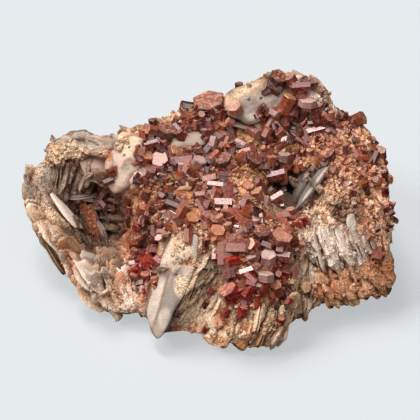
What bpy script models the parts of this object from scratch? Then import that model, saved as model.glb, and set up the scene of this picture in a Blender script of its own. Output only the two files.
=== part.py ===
"""Vanadinite on matrix: a hand specimen of red-brown hexagonal crystals on bladed baryte.

Metres, +Z up. The origin is the middle of the flat foot's box, +X runs along the specimen's length
and -Y faces the side that is shown. The matrix grew as one piece, so it is one solid. The vanadinite
crystals stand in sockets in it. Crystals that run into each other are one solid.

Places are given on a sheet laid over the show face, the side with the crystals on it. The sheet leans
back, so that its normal stands SHEET_TILT above the horizontal. A place on it is a column, counted to
the right, and a row, counted down, from its upper left corner, in steps of a quarter of a millimetre.
Sizes in the tables are in the same steps, heights are millimetres above the foot, angles are degrees.
"""

import math
from dataclasses import dataclass, replace

import bmesh
import bpy
import numpy as np
from mathutils import Vector
from mathutils.bvhtree import BVHTree

# The sheet over the show face
STEP = 0.00025  # one step of the tables, m
MM = 0.001
SHEET_TILT = math.radians(40)
SHEET_MIDDLE = (210, 210)  # column and row of the point below
SHEET_POINT = np.array([0.00072, -0.00234, 0.018])  # where the sheet's middle stands, m
ACROSS = np.array([1.0, 0.0, 0.0])
RISE = np.array([0.0, math.sin(SHEET_TILT), math.cos(SHEET_TILT)])
OUT = np.array([0.0, -math.cos(SHEET_TILT), math.sin(SHEET_TILT)])

# The core of the matrix
CORE_DETAIL = 4  # subdivisions of the sphere that the core is drawn from
CORE_SOFTNESS = 12  # how far a landmark's bend is rounded, steps
# Waves that roughen the front and the rear skin: height in m, length in steps, slant in degrees
FRONT_LUMPS = ((0.00045, 31, 20), (0.00030, 19, 65))
REAR_LUMPS = ((0.0022, 74, 15), (0.0014, 43, 55), (0.0008, 27, -30))
CORE_LEAST = 0.014  # least thickness between the two skins away from the outline, m

CORE_DAMPING = 0.5  # how far the skins may miss their landmarks
NUDGE = 0.05  # step by which the skin's slope is read off, radians

# The outline of the core on the sheet, clockwise from its left tip: column, row, height
OUTLINE = (
    (25, 187, 14), (33, 173, 17), (43, 157, 20), (52, 143, 23), (63, 135, 25), (80, 134, 25),
    (100, 137, 26), (118, 134, 27.5), (135, 129, 29), (150, 125, 30), (165, 117, 31), (182, 108, 33),
    (196, 105, 34), (210, 102, 35), (228, 97, 35), (245, 86, 37), (260, 78, 39), (272, 72, 40.5),
    (288, 72, 41), (302, 78, 40.5), (318, 90, 39), (332, 106, 36.5), (350, 119, 33.5),
    (364, 127, 31.5), (374, 144, 29), (384, 162, 27), (389, 180, 24), (391, 200, 21), (390, 220, 19),
    (389, 245, 14.5), (393, 268, 9.5), (394, 282, 6), (387, 291, 4), (370, 295, 3.5), (350, 303, 3),
    (335, 303, 3), (322, 300, 4), (311, 309, 3), (297, 315, 3), (288, 323, 3), (282, 338, 2.5),
    (268, 345, 2), (250, 347, 2), (232, 341, 3), (220, 346, 2), (209, 343, 2), (202, 333, 3),
    (188, 331, 3), (172, 332, 2.5), (160, 333, 2), (154, 320, 3), (141, 312, 3.5), (120, 313, 3),
    (110, 310, 3.5), (98, 300, 4.5), (84, 285, 5), (70, 268, 6), (55, 249, 7), (44, 235, 8.5),
    (33, 212, 11), (27, 197, 13),
)
# Landmarks on the side that shows: column, row, height
FRONT = (
    (75, 155, 22), (62, 170, 18), (95, 165, 20), (60, 190, 13.5), (90, 190, 12), (78, 212, 7),
    (100, 215, 5.5), (118, 215, 9), (85, 240, 4), (105, 240, 4.5), (52, 220, 10), (70, 248, 7.5),
    (88, 270, 6.5), (110, 165, 22), (130, 150, 26), (140, 170, 24.5), (128, 190, 20), (150, 200, 20),
    (150, 225, 16), (148, 245, 9), (147, 268, 6.5), (122, 262, 9.5), (110, 285, 7.5), (135, 295, 6.5),
    (165, 160, 26.5), (160, 140, 28.5), (185, 130, 31), (200, 112, 34), (225, 118, 32), (215, 150, 28),
    (200, 180, 26), (180, 205, 24), (215, 210, 24.5), (250, 140, 29), (245, 165, 27.5), (250, 190, 25.5),
    (245, 215, 24.5), (250, 100, 36.5), (275, 95, 38), (270, 120, 33.5), (300, 105, 36.5),
    (300, 125, 32), (320, 120, 34), (340, 140, 31), (315, 150, 29.5), (280, 160, 25), (292, 190, 17.5),
    (283, 203, 18), (312, 190, 22), (330, 175, 26.5), (360, 165, 28), (345, 195, 24.5), (372, 200, 22.5),
    (320, 215, 21), (285, 225, 22), (300, 240, 19), (270, 245, 20.5), (240, 250, 21), (215, 240, 22.5),
    (190, 235, 22.5), (175, 250, 19.5), (172, 275, 14.5), (166, 305, 8), (190, 280, 13.5),
    (190, 305, 8), (215, 270, 15), (222, 300, 11), (222, 325, 6), (245, 285, 15.5), (255, 310, 10),
    (262, 330, 5.5), (275, 275, 15), (285, 300, 8.5), (305, 265, 13), (303, 290, 7.5), (340, 235, 17),
    (340, 262, 12), (340, 285, 7), (365, 240, 16), (372, 262, 11.5), (375, 280, 7.5),
)
# Landmarks on the side that faces away and under the foot, in mm: x and y from the sheet's middle and
# height above the foot
REAR = (
    (-42, 18, 11), (-33, 27, 13), (-18, 31, 12), (-2, 35, 13), (13, 37, 15), (28, 34, 14),
    (38, 26, 13), (43, 13, 9), (-24, 25, 20), (-6, 29, 26), (14, 33, 30), (30, 28, 25), (40, 17, 18),
    (-34, 20, 4), (-18, 27, 4), (-2, 31, 4), (14, 33, 4), (29, 29, 4), (37, 19, 3), (-30, 12, -3),
    (-12, 16, -5), (6, 18, -5), (25, 16, -5), (-20, -2, -3), (0, 0, -5), (22, 0, -4), (-8, -18, -3),
    (10, -20, -3), (33, -6, -2), (-28, -4, -1),
)


def on_sheet(column, row, out=0.0):
    """The point at a place on the sheet, out metres in front of it."""
    across = (np.asarray(column, float) - SHEET_MIDDLE[0]) * STEP
    rise = (SHEET_MIDDLE[1] - np.asarray(row, float)) * STEP
    point = across[..., None] * ACROSS + rise[..., None] * RISE + np.asarray(out)[..., None] * OUT
    return point + SHEET_POINT


def out_at_height(row, height):
    """How far in front of the sheet a row reaches a height, both in metres."""
    rise = (SHEET_MIDDLE[1] - np.asarray(row, float)) * STEP
    return (height - SHEET_POINT[2] - rise * RISE[2]) / OUT[2]


def to_sheet(points):
    """Column, row and reach in front of the sheet for points in metres."""
    arms = np.asarray(points, float) - SHEET_POINT
    return SHEET_MIDDLE[0] + arms @ ACROSS / STEP, SHEET_MIDDLE[1] - arms @ RISE / STEP, arms @ OUT


def lumps(columns, rows, waves):
    """Lumps and hollows, as a sum of slanting waves given by height, length and slant."""
    total = 0.0
    for number, (height, length, slant) in enumerate(waves):
        turn, phase = math.radians(slant), math.tau / length
        along = columns * math.cos(turn) + rows * math.sin(turn)
        beside = rows * math.cos(turn) - columns * math.sin(turn)
        total = total + height * np.sin(along * phase + number) * np.cos(beside * phase * 0.8 + 2 * number)
    return total


class Core:
    """The core of the matrix: a front skin and a rear skin that meet at the outline.

    Each skin runs through its landmarks. Between them it is a sum of cones with rounded tips, one on
    each landmark. Towards the outline both skins bend round to meet, as on a pebble.
    """

    def __init__(self):
        outline = np.array(OUTLINE, float)
        east, north = outline[:, 0] - SHEET_MIDDLE[0], SHEET_MIDDLE[1] - outline[:, 1]
        bearings = np.arctan2(north, east)
        order = np.argsort(bearings)
        self.bearings = bearings[order]
        self.radii = np.hypot(east, north)[order]
        self.edge = out_at_height(outline[:, 1], outline[:, 2] * MM)[order]
        front = np.array(FRONT, float)
        self.front = self.fit(front[:, 0], front[:, 1], out_at_height(front[:, 1], front[:, 2] * MM))
        rear = np.array(REAR, float) * MM + SHEET_POINT * (1, 1, 0)
        self.rear = self.fit(*to_sheet(rear))

    def rim(self, bearing):
        """The outline's distance from the middle and its reach in front of the sheet at a bearing."""
        radius = np.interp(bearing, self.bearings, self.radii, period=math.tau)
        return radius, np.interp(bearing, self.bearings, self.edge, period=math.tau)

    def polar(self, columns, rows):
        """Bearing of places on the sheet, the outline's reach there, and their depth from the rim."""
        east = np.asarray(columns, float) - SHEET_MIDDLE[0]
        north = SHEET_MIDDLE[1] - np.asarray(rows, float)
        radius, edge = self.rim(np.arctan2(north, east))
        return edge, np.sqrt(np.clip(1 - (np.hypot(east, north) / radius) ** 2, 0.0004, 1))

    def fit(self, columns, rows, outs):
        """Weights of the cones that bring a skin through the landmarks."""
        edge, inward = self.polar(columns, rows)
        goals = (outs - edge * (1 - inward)) / inward
        apart = np.hypot(columns[:, None] - columns, rows[:, None] - rows)
        cones = np.hypot(apart, CORE_SOFTNESS)
        weights = np.linalg.solve(cones + CORE_DAMPING * np.eye(len(goals)), goals - goals.mean())
        return columns, rows, goals.mean(), weights

    def skin(self, fitted, columns, rows, inward, edge):
        """Reach in front of the sheet of one skin."""
        marks_c, marks_r, base, weights = fitted
        apart = np.hypot(columns[:, None] - marks_c, rows[:, None] - marks_r)
        return edge * (1 - inward) + inward * (base + np.hypot(apart, CORE_SOFTNESS) @ weights)

    def front_out(self, columns, rows):
        """Reach in front of the sheet of the front skin at places on the sheet."""
        columns = np.atleast_1d(np.asarray(columns, float))
        rows = np.atleast_1d(np.asarray(rows, float))
        edge, inward = self.polar(columns, rows)
        skin = self.skin(self.front, columns, rows, inward, edge)
        return skin + lumps(columns, rows, FRONT_LUMPS) * inward

    def points(self, directions):
        """Points of the core's skin, one for each unit direction from a sphere."""
        east, north, outward = directions @ ACROSS, directions @ RISE, directions @ OUT
        radius, edge = self.rim(np.arctan2(north, east))
        columns, rows = SHEET_MIDDLE[0] + east * radius, SHEET_MIDDLE[1] - north * radius
        inward = np.abs(outward)
        front = self.skin(self.front, columns, rows, inward, edge)
        front += lumps(columns, rows, FRONT_LUMPS) * inward
        rear = self.skin(self.rear, columns, rows, inward, edge)
        rear -= lumps(columns, rows, REAR_LUMPS) * inward
        outs = np.where(outward > 0, front, np.minimum(rear, front - CORE_LEAST * inward))
        return on_sheet(columns, rows, np.maximum(outs, out_at_height(rows, 0.0)))

    def place(self, bearing, height):
        """Point and outward normal of the skin where it is seen at a bearing and height, in radians."""
        turns = np.array([[bearing, height], [bearing + NUDGE, height], [bearing, height + NUDGE]])
        level = np.cos(turns[:, 1])
        points = self.points(np.column_stack(
            [np.cos(turns[:, 0]) * level, np.sin(turns[:, 0]) * level, np.sin(turns[:, 1])]))
        normal = np.cross(points[1] - points[0], points[2] - points[0])
        return points[0], normal / np.linalg.norm(normal)


@dataclass(frozen=True)
class Blade:
    """A lens-shaped blade of baryte.

    column, row: its middle on the sheet
    trace: direction of its long edge on the sheet, from the right, anticlockwise
    lean: 0 when it is seen edge on, 90 when its face lies along the sheet
    length, depth, thick: half its long axis, half its short axis, and its thickness
    proud: how far it stands in front of the core's skin
    """

    column: float
    row: float
    trace: float
    lean: float
    length: float
    depth: float
    thick: float
    proud: float


# Fans of blades: how many, the first blade, the last blade. The ones between follow in even steps.
FANS = (
    # Plates round the lower left, stacked outwards, and the pointed blade above them
    (3, Blade(48, 236, -57, 12, 52, 26, 6, 5), Blade(84, 262, -50, 24, 46, 24, 7, 7)),
    (2, Blade(33, 196, -72, 10, 24, 16, 6, 4), Blade(45, 212, -66, 20, 26, 18, 6, 6)),
    (1, Blade(61, 207, -51, 22, 28, 10, 5, 14), None),
    (1, Blade(92, 262, -42, 52, 17, 12, 5, 8), None),
    # Rounded lobe on the upper left, its ribs, and the shelf under them
    (2, Blade(72, 146, 12, 58, 24, 17, 17, 4), Blade(104, 147, -9, 50, 26, 12, 11, 4)),
    (5, Blade(55, 176, 82, 12, 18, 13, 7, 4), Blade(98, 170, 68, 12, 17, 12, 6, 4)),
    (2, Blade(93, 191, 8, 28, 25, 16, 5, 11), Blade(104, 198, -2, 22, 19, 14, 4, 7)),
    # Smooth pale plates and the nodule beside them
    (1, Blade(104, 163, 28, 64, 24, 19, 7, 6), None),
    (1, Blade(128, 162, 52, 70, 30, 18, 17, 8), None),
    # Hollow on the left: rusty plate, two thin blades, layered floor
    (1, Blade(89, 231, 100, 46, 32, 12, 6, 16), None),
    (2, Blade(101, 236, 104, 32, 18, 10, 3.5, 15), Blade(105, 257, 36, 48, 15, 10, 6, 12)),
    (3, Blade(112, 203, 6, 30, 20, 13, 5, 8), Blade(116, 226, -4, 30, 17, 12, 5, 6)),
    # Mass on the lower left
    (4, Blade(105, 287, -54, 16, 27, 15, 7, 5), Blade(139, 294, -72, 20, 22, 14, 6, 4)),
    # Big lens at the front, the ribs behind it and the crust over it
    (1, Blade(172, 281, 70, 50, 52, 21, 10, 13), None),
    (5, Blade(184, 284, 66, 18, 43, 18, 7, 8), Blade(216, 262, 54, 6, 34, 16, 6, 6)),
    (1, Blade(166, 245, 80, 52, 18, 10, 7, 5), None),
    # Lower middle
    (2, Blade(212, 322, 82, 30, 22, 14, 9, 6), Blade(226, 323, 80, 52, 21, 14, 10, 6)),
    (1, Blade(255, 318, 77, 22, 17, 10, 6, 8), None),
    (3, Blade(262, 326, 72, 18, 22, 13, 6, 5), Blade(280, 322, 64, 26, 26, 14, 6, 5)),
    (1, Blade(240, 332, 88, 46, 16, 14, 12, 5), None),
    # Summit: nodule, right shoulder, rim of a thin blade, smooth patch
    (1, Blade(256, 99, 24, 62, 34, 22, 17, 6), None),
    (2, Blade(314, 96, -44, 50, 25, 16, 13, 3), Blade(338, 122, -46, 50, 24, 14, 12, 3)),
    (2, Blade(243, 123, -18, 34, 21, 10, 4, 7), Blade(190, 139, 6, 50, 18, 11, 8, 5)),
    # Cleft right of the middle: wing blade over it, dark blades in it, striped slips on its left
    (2, Blade(299, 190, 66, 26, 27, 10, 6, 18), Blade(311, 188, 52, 40, 27, 8, 5, 21)),
    (3, Blade(297, 180, -48, 44, 14, 9, 6, 7), Blade(281, 205, -14, 46, 15, 9, 6, 6)),
    (3, Blade(270, 198, -28, 30, 19, 9, 4.5, 6), Blade(262, 218, -34, 30, 17, 9, 4.5, 5)),
    # Right side: feathered slabs, ridged foot, upright blades, slips at the edge
    (3, Blade(318, 247, -80, 26, 24, 14, 8, 8), Blade(344, 239, -66, 36, 20, 13, 8, 10)),
    (3, Blade(351, 252, -60, 26, 22, 14, 8, 8), Blade(374, 243, -74, 34, 18, 12, 7, 6)),
    (6, Blade(326, 282, -76, 24, 22, 14, 8, 7), Blade(378, 275, -62, 24, 20, 14, 8, 5)),
    (4, Blade(293, 289, 84, 14, 25, 14, 6, 8), Blade(316, 282, -74, 20, 25, 14, 6, 7)),
    (2, Blade(351, 222, -76, 48, 9, 6, 3, 9), Blade(383, 222, -82, 38, 19, 8, 4, 6)),
)
# Fans on the sides that face away: bearing and height of their place as seen from the middle, slant of
# the long edge from upright, lean of the face away from the middle, how many, spread of the bearings,
# and length, depth and thickness as for a blade
REAR_FANS = (
    (16, 2, 24, 68, 2, 16, 22, 15, 9), (46, -10, -18, 40, 3, 24, 25, 18, 10),
    (56, 14, 22, 54, 3, 20, 24, 17, 11), (86, -10, 10, 42, 4, 30, 32, 22, 10),
    (92, 12, -28, 50, 3, 26, 32, 21, 10), (128, -6, -20, 40, 3, 26, 30, 20, 10),
    (126, 14, 16, 54, 3, 20, 28, 18, 9),
)
REAR_PROUD = 0.5  # share of its depth that a blade's middle lies under the skin there
REAR_FANNING = 18  # turn of the long edge from the first blade of such a fan to the last, degrees
REAR_TAPER = 0.4  # share by which the outer blades of such a fan are shorter
BLADE_SIDES = 7
BLADE_BEVEL = 0.78  # size of a blade's two faces against its rim
# How unevenly the blades of a fan are set: trace and lean in degrees, share of the length, steps of proud
BLADE_JITTER = (5, 7, 0.14, 2)


def blend(first, last, share):
    """A blade between two others, set a little unevenly."""
    ends = zip(vars(first).values(), vars(last).values())
    blade = Blade(*(a + (b - a) * share for a, b in ends))
    wave = [math.sin(blade.column * 1.7 + blade.row * turn) for turn in (0.9, 1.9, 2.7, 3.3)]
    trace, lean, length, proud = (most * part for most, part in zip(BLADE_JITTER, wave))
    return replace(blade, trace=blade.trace + trace, lean=blade.lean + lean,
                   length=blade.length * (1 + length), proud=blade.proud + proud)


def blade_frames(core):
    """Middle, long axis, normal and (length, depth, thick) in metres of every blade."""
    frames = []
    for count, first, last in FANS:
        for index in range(count):
            blade = blend(first, last, index / (count - 1)) if count > 1 else first
            trace, lean = math.radians(blade.trace), math.radians(blade.lean)
            along = math.cos(trace) * ACROSS + math.sin(trace) * RISE
            beside = math.cos(trace) * RISE - math.sin(trace) * ACROSS
            normal = math.cos(lean) * beside + math.sin(lean) * OUT
            sunk = (blade.proud - blade.depth * math.cos(lean)) * STEP
            middle = on_sheet(blade.column, blade.row, core.front_out(blade.column, blade.row)[0] + sunk)
            size = np.array([blade.length, blade.depth, blade.thick]) * STEP
            frames.append((middle, along, normal, size))
    for bearing, height, slant, lean, count, spread, *sizes in REAR_FANS:
        for index in range(count):
            share = index / (count - 1) - 0.5
            point, away = core.place(math.radians(bearing + spread * share), math.radians(height))
            along = np.array([0.0, 0.0, 1.0]) - away[2] * away
            along /= np.linalg.norm(along)
            beside = np.cross(away, along)
            tip, tilt = math.radians(slant + REAR_FANNING * share), math.radians(lean)
            normal = math.cos(tip) * beside - math.sin(tip) * along
            along = math.cos(tip) * along + math.sin(tip) * beside
            normal = math.cos(tilt) * normal + math.sin(tilt) * away
            length, depth, thick = np.array(sizes) * STEP
            frames.append((point - away * depth * REAR_PROUD, along, normal,
                           np.array([length * (1.1 - REAR_TAPER * abs(share)), depth, thick])))
    return frames


def blade_mesh(frame, index):
    """Points and faces of a blade: a rim between two smaller outlines, with slightly uneven sides."""
    middle, along, normal, (length, depth, thick) = frame
    deep = np.cross(normal, along)
    turns = np.arange(BLADE_SIDES) * math.tau / BLADE_SIDES + 0.3
    uneven = 1 + 0.09 * np.sin(turns * 3 + index * 2.4) + 0.06 * np.sin(turns * 5 + index)
    full = np.array([np.cos(turns), np.sin(turns)])
    full = np.sign(full) * np.abs(full) ** 0.8 * uneven
    outline = np.outer(full[0] * length, along) + np.outer(full[1] * depth, deep)
    rings = [middle + outline * size + normal * thick * lift
             for size, lift in ((BLADE_BEVEL, 0.5), (1.0, 0.0), (BLADE_BEVEL, -0.5))]
    faces = []
    for ring in (0, BLADE_SIDES):
        for side in range(BLADE_SIDES):
            after = (side + 1) % BLADE_SIDES
            faces.append((ring + side, ring + BLADE_SIDES + side, ring + BLADE_SIDES + after, ring + after))
    faces.append(tuple(range(BLADE_SIDES)))
    faces.append(tuple(range(3 * BLADE_SIDES - 1, 2 * BLADE_SIDES - 1, -1)))
    return np.concatenate(rings), faces


# Vanadinite crystals, hexagonal prisms: column and row of the middle, width over the corners, length,
# direction of the long axis on the sheet, its lean out of the sheet, extra lift out of the matrix
CRYSTALS = (
    # Summit
    (277, 80, 20, 13, 65, 38, 2), (293, 82, 13, 13, 120, 19, 1), (296, 92, 9, 18, 115, 28, 3),
    (286, 104, 18, 20, 64, 24, 3), (307, 103, 22, 8, 82, 20, 3), (321, 96, 6, 11, 85, 20, 1),
    (325, 106, 7, 10, 60, 17, 1), (332, 115, 8, 8, 100, 26, 1), (357, 120, 17, 17, 24, 32, -1),
    (346, 118, 10, 12, 150, 25, 0), (315, 123, 8, 14, 4, 12, 1), (330, 124, 7, 15, 2, 12, 0),
    (311, 132, 8, 13, -8, 12, 0), (349, 134, 8, 8, 120, 32, 0), (355, 143, 10, 11, 72, 30, 0),
    (345, 150, 8, 12, 92, 24, 2), (336, 145, 11, 10, 62, 26, 0), (331, 157, 13, 10, 130, 35, 0),
    (349, 164, 11, 8, 112, 29, 0), (380, 154, 14, 11, 96, 40, 0), (373, 164, 10, 11, 140, 16, 0),
    (371, 174, 9, 8, 80, 27, 1), (384, 177, 10, 14, 94, 22, 0), (301, 151, 8, 8, 55, 24, 0),
    (302, 166, 8, 8, 115, 23, 0), (318, 140, 9, 10, 75, 16, 0),
    # Crest left of the summit
    (209, 103, 36, 9, 97, 42, -4), (190, 107, 13, 18, 172, 16, 1), (235, 108, 18, 8, 116, 42, 1),
    (216, 114, 10, 10, 80, 29, 1), (239, 86, 9, 8, 90, 21, 0), (267, 92, 9, 10, 40, 20, 0),
    (262, 107, 7, 7, 50, 27, 0), (262, 117, 9, 8, 130, 28, 0), (274, 119, 11, 10, 70, 21, 0),
    (251, 130, 12, 19, -34, 30, 2), (267, 131, 13, 11, 62, 14, 0), (207, 133, 13, 11, 110, 22, 1),
    (212, 143, 11, 13, -105, 26, 3), (222, 126, 14, 10, 58, 40, 0), (241, 144, 10, 13, -30, 30, 2),
    (153, 124, 10, 11, 100, 21, 0), (166, 131, 23, 12, 76, 34, 0), (143, 139, 9, 20, 88, 16, 0),
    (175, 121, 8, 10, 60, 26, 1), (188, 120, 9, 9, 20, 30, 0), (180, 136, 12, 11, 118, 21, 0),
    (196, 124, 9, 10, 84, 16, 0),
    # Upper middle
    (224, 163, 22, 13, 102, 30, 0), (252, 161, 22, 12, 52, 30, 2), (271, 161, 13, 11, 82, 21, 1),
    (284, 157, 15, 8, 82, 25, 3), (284, 175, 10, 19, -88, 22, 4), (264, 171, 6, 8, 60, 18, 1),
    (283, 144, 9, 11, 40, 20, 1), (294, 138, 11, 11, 66, 22, 0), (281, 132, 11, 10, 40, 21, 0),
    (160, 160, 21, 8, 115, 62, -1), (146, 157, 15, 9, 62, 44, 0), (175, 152, 16, 9, 40, 44, 0),
    (164, 145, 10, 11, 100, 24, 1), (188, 151, 12, 10, 72, 34, 0), (197, 165, 15, 15, 58, 30, 2),
    (181, 168, 8, 10, 84, 25, 2), (144, 174, 8, 16, -40, 25, 1), (134, 179, 9, 12, -32, 24, 0),
    (134, 190, 7, 8, 60, 32, 2), (146, 193, 14, 11, 76, 36, 0), (162, 190, 10, 15, 176, 22, 1),
    (161, 179, 8, 10, 80, 18, 1), (173, 178, 9, 11, 64, 20, 0), (231, 146, 9, 10, 100, 26, 0),
    (191, 186, 8, 15, 78, 24, 2), (199, 190, 8, 15, 80, 22, 2), (208, 187, 9, 10, 66, 29, 1),
    (238, 173, 11, 11, 120, 18, 0),
    # Left of the middle, down to the crevice
    (157, 219, 7, 10, 70, 22, 3), (127, 201, 9, 11, 64, 26, 1), (129, 211, 10, 10, 82, 21, 2),
    (129, 221, 9, 10, 104, 23, 0), (143, 209, 14, 10, 66, 44, 0), (139, 227, 15, 10, 66, 42, 0),
    (148, 236, 11, 11, 116, 22, 0), (174, 217, 20, 10, 205, 48, 1), (181, 202, 17, 10, 62, 30, 1),
    (193, 219, 17, 9, 70, 52, 1), (206, 217, 15, 8, 60, 28, 2), (139, 240, 6, 9, 80, 30, 3),
    (150, 248, 7, 8, 60, 24, 1), (150, 262, 18, 14, 32, 30, 3), (123, 232, 9, 10, 60, 21, 0),
    (133, 254, 9, 11, 72, 16, 0), (146, 278, 12, 11, 100, 30, 1), (162, 205, 10, 11, 96, 24, 1),
    # Middle
    (223, 189, 12, 11, 88, 21, 0), (214, 201, 12, 10, 66, 29, 0), (234, 202, 10, 16, -68, 22, 1),
    (247, 188, 14, 9, 76, 42, 0), (258, 184, 6, 7, 60, 32, 2), (255, 212, 13, 13, 158, 30, 1),
    (217, 232, 17, 9, 74, 52, 1), (224, 247, 13, 11, 62, 29, 0), (232, 222, 12, 11, 112, 16, 0),
    (239, 233, 9, 15, 35, 24, 2), (254, 223, 8, 8, 80, 24, 2), (261, 234, 20, 10, 78, 46, 2),
    (248, 246, 17, 9, 102, 52, 1), (243, 259, 14, 8, 64, 44, 0), (281, 238, 24, 10, 72, 46, 1),
    (267, 257, 19, 10, 84, 44, 3), (255, 267, 10, 10, 60, 26, 0), (286, 260, 14, 9, 66, 42, 0),
    (298, 246, 12, 11, 62, 27, 0), (206, 243, 9, 10, 86, 18, 0),
    # Lower middle
    (264, 276, 20, 9, 86, 18, 2), (276, 289, 15, 13, 104, 38, 2), (230, 292, 22, 13, 118, 36, 3),
    (212, 291, 8, 10, 60, 23, 0), (242, 311, 11, 12, 72, 21, 0), (226, 311, 8, 10, 60, 20, 1),
    (281, 306, 8, 12, 68, 28, 0), (280, 320, 8, 7, 80, 30, 0), (257, 300, 8, 15, 86, 22, 0),
    (248, 290, 13, 12, 62, 19, 0), (207, 303, 10, 9, 60, 32, 0), (206, 328, 8, 8, 60, 30, 0),
    (284, 275, 13, 12, 74, 20, 1), (270, 300, 10, 11, 60, 15, 0),
    # Right of the middle and the right edge
    (296, 225, 8, 11, 178, 24, 1), (305, 222, 10, 12, 112, 21, 1), (303, 212, 9, 11, 60, 16, 0),
    (389, 207, 9, 10, 60, 20, 0), (388, 228, 9, 11, 60, 24, 0), (374, 214, 7, 10, 70, 19, 1),
    (363, 153, 9, 10, 64, 25, 0), (357, 177, 8, 8, 60, 21, 0), (366, 190, 8, 10, 100, 18, 0),
    (384, 192, 9, 11, 84, 20, 0),
)
CRYSTAL_LIFT = 0.12  # share of its width that a crystal's middle stands in front of its seat
GROUPS = 50  # crystals or clusters of crystals that stand free in sockets. The rest grew into the matrix
FUSED_WIDTH = 14  # crystals grown into the matrix are drawn from this width up
WELD = 0.004 * MM  # points nearer than this are one point
FLAT = math.radians(2.5)  # faces that meet at less than this are one face
FAR = 0.1  # how far in front of the sheet the search for a crystal's seat starts, m
CUT_REACH = 0.1  # how far the cut that leaves the flat foot reaches sideways and down, m
HAIR = 0.06 * MM  # crystals that run into each other by less than twice this only touch
PLAY = 0.3 * MM  # gap between a socket and its crystal
SPIN_STEP = 37.0  # a crystal's turn about its long axis steps by this much from one to the next, degrees


def crystal_frames(tree, core):
    """Middle, long axis, side direction, half length and radius in metres of every crystal."""
    frames = []
    for index, (column, row, width, length, axis, lean, lift) in enumerate(CRYSTALS):
        axis, lean = math.radians(axis), math.radians(lean)
        along = math.cos(lean) * (math.cos(axis) * ACROSS + math.sin(axis) * RISE) + math.sin(lean) * OUT
        seat = float(core.front_out(column, row)[0])
        start = on_sheet(column, row, FAR)
        hit = tree.ray_cast(Vector(start), Vector(-OUT))[0]
        if hit is not None:
            seat = FAR - float((start - np.array(hit)) @ OUT)
        middle = on_sheet(column, row, seat + (CRYSTAL_LIFT * width + lift) * STEP)
        side = np.cross(along, ACROSS if abs(along[0]) < 0.8 else RISE)
        side /= np.linalg.norm(side)
        spin = math.radians(SPIN_STEP * index)
        side = math.cos(spin) * side + math.sin(spin) * np.cross(along, side)
        frames.append((middle, along, side, length * STEP / 2, width * STEP / 2))
    return frames


def prism_mesh(frame, grow=0.0):
    """Points and faces of a hexagonal prism, grown by a margin on every side."""
    middle, along, side, half, radius = frame
    turns = np.arange(6) * math.tau / 6
    ring = np.outer(np.cos(turns), side) + np.outer(np.sin(turns), np.cross(along, side))
    ring *= radius + grow / math.cos(math.pi / 6)
    points = np.concatenate([middle + ring - along * (half + grow), middle + ring + along * (half + grow)])
    faces = [tuple(range(5, -1, -1)), tuple(range(6, 12))]
    faces += [(side_, (side_ + 1) % 6, (side_ + 1) % 6 + 6, side_ + 6) for side_ in range(6)]
    return points, faces


def apart(first, second):
    """Whether two prisms, as arrays of 12 points, can be parted by a plane."""
    def axes(points):
        across = points[1] - points[0], points[2] - points[1], points[3] - points[2]
        along = points[6] - points[0]
        return [*across, along], [along, *(np.cross(along, edge) for edge in across)]

    edges_a, normals_a = axes(first)
    edges_b, normals_b = axes(second)
    crossed = [np.cross(a, b) for a in edges_a for b in edges_b]
    for line in normals_a + normals_b + crossed:
        size = np.linalg.norm(line)
        if size < 1e-12:
            continue
        a, b = first @ line / size, second @ line / size
        if a.max() < b.min() or b.max() < a.min():
            return True
    return False


def crystal_groups(frames):
    """Lists of crystals to stand free, each list one solid, and the list of those grown into the matrix.

    Crystals whose prisms run into each other by more than a hair belong together. A group that
    comes nearer than the play to a bigger one without touching it grows into the matrix.
    """
    count = len(frames)
    slim = [prism_mesh(frame, -HAIR)[0] for frame in frames]
    plain = [prism_mesh(frame)[0] for frame in frames]
    grown = [prism_mesh(frame, PLAY + HAIR)[0] for frame in frames]
    owner = list(range(count))

    def root(index):
        while owner[index] != index:
            index = owner[index]
        return index

    near = []
    for first in range(count):
        for second in range(first + 1, count):
            gap = np.linalg.norm(frames[first][0] - frames[second][0])
            if gap > sum(math.hypot(frames[i][3], frames[i][4]) for i in (first, second)) + PLAY * 2:
                continue
            if not apart(slim[first], slim[second]):
                owner[root(second)] = root(first)
            elif not apart(grown[first], plain[second]):
                near.append((first, second))
    groups = {}
    for index in range(count):
        groups.setdefault(root(index), []).append(index)
    bulk = {key: sum(frames[i][3] * frames[i][4] ** 2 for i in group) for key, group in groups.items()}
    chosen = []
    for key in sorted(groups, key=lambda k: -bulk[k]):
        rivals = {root(a) for pair in near for a in pair if key in map(root, pair)} - {key}
        if len(chosen) < GROUPS and not rivals & set(chosen):
            chosen.append(key)
    standing = [groups[key] for key in sorted(chosen, key=lambda k: groups[k][0])]
    fused = [index for key, group in groups.items() if key not in chosen for index in group]
    return standing, fused


def clear_scene():
    """Remove every object."""
    for item in list(bpy.data.objects):
        bpy.data.objects.remove(item, do_unlink=True)


def new_material(name, color, roughness):
    """A plain material."""
    material = bpy.data.materials.new(name)
    material.use_nodes = True
    shader = material.node_tree.nodes["Principled BSDF"]
    shader.inputs["Base Color"].default_value = (*color, 1.0)
    shader.inputs["Roughness"].default_value = roughness
    shader.inputs["Metallic"].default_value = 0.0
    return material


def new_object(name, points, faces, material=None):
    """An object with its faces turned outwards."""
    mesh = bpy.data.meshes.new(name)
    mesh.from_pydata([tuple(point) for point in points], [], faces)
    work = bmesh.new()
    work.from_mesh(mesh)
    bmesh.ops.recalc_face_normals(work, faces=work.faces)
    work.to_mesh(mesh)
    work.free()
    item = bpy.data.objects.new(name, mesh)
    bpy.context.scene.collection.objects.link(item)
    if material is not None:
        mesh.materials.append(material)
    return item


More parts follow.
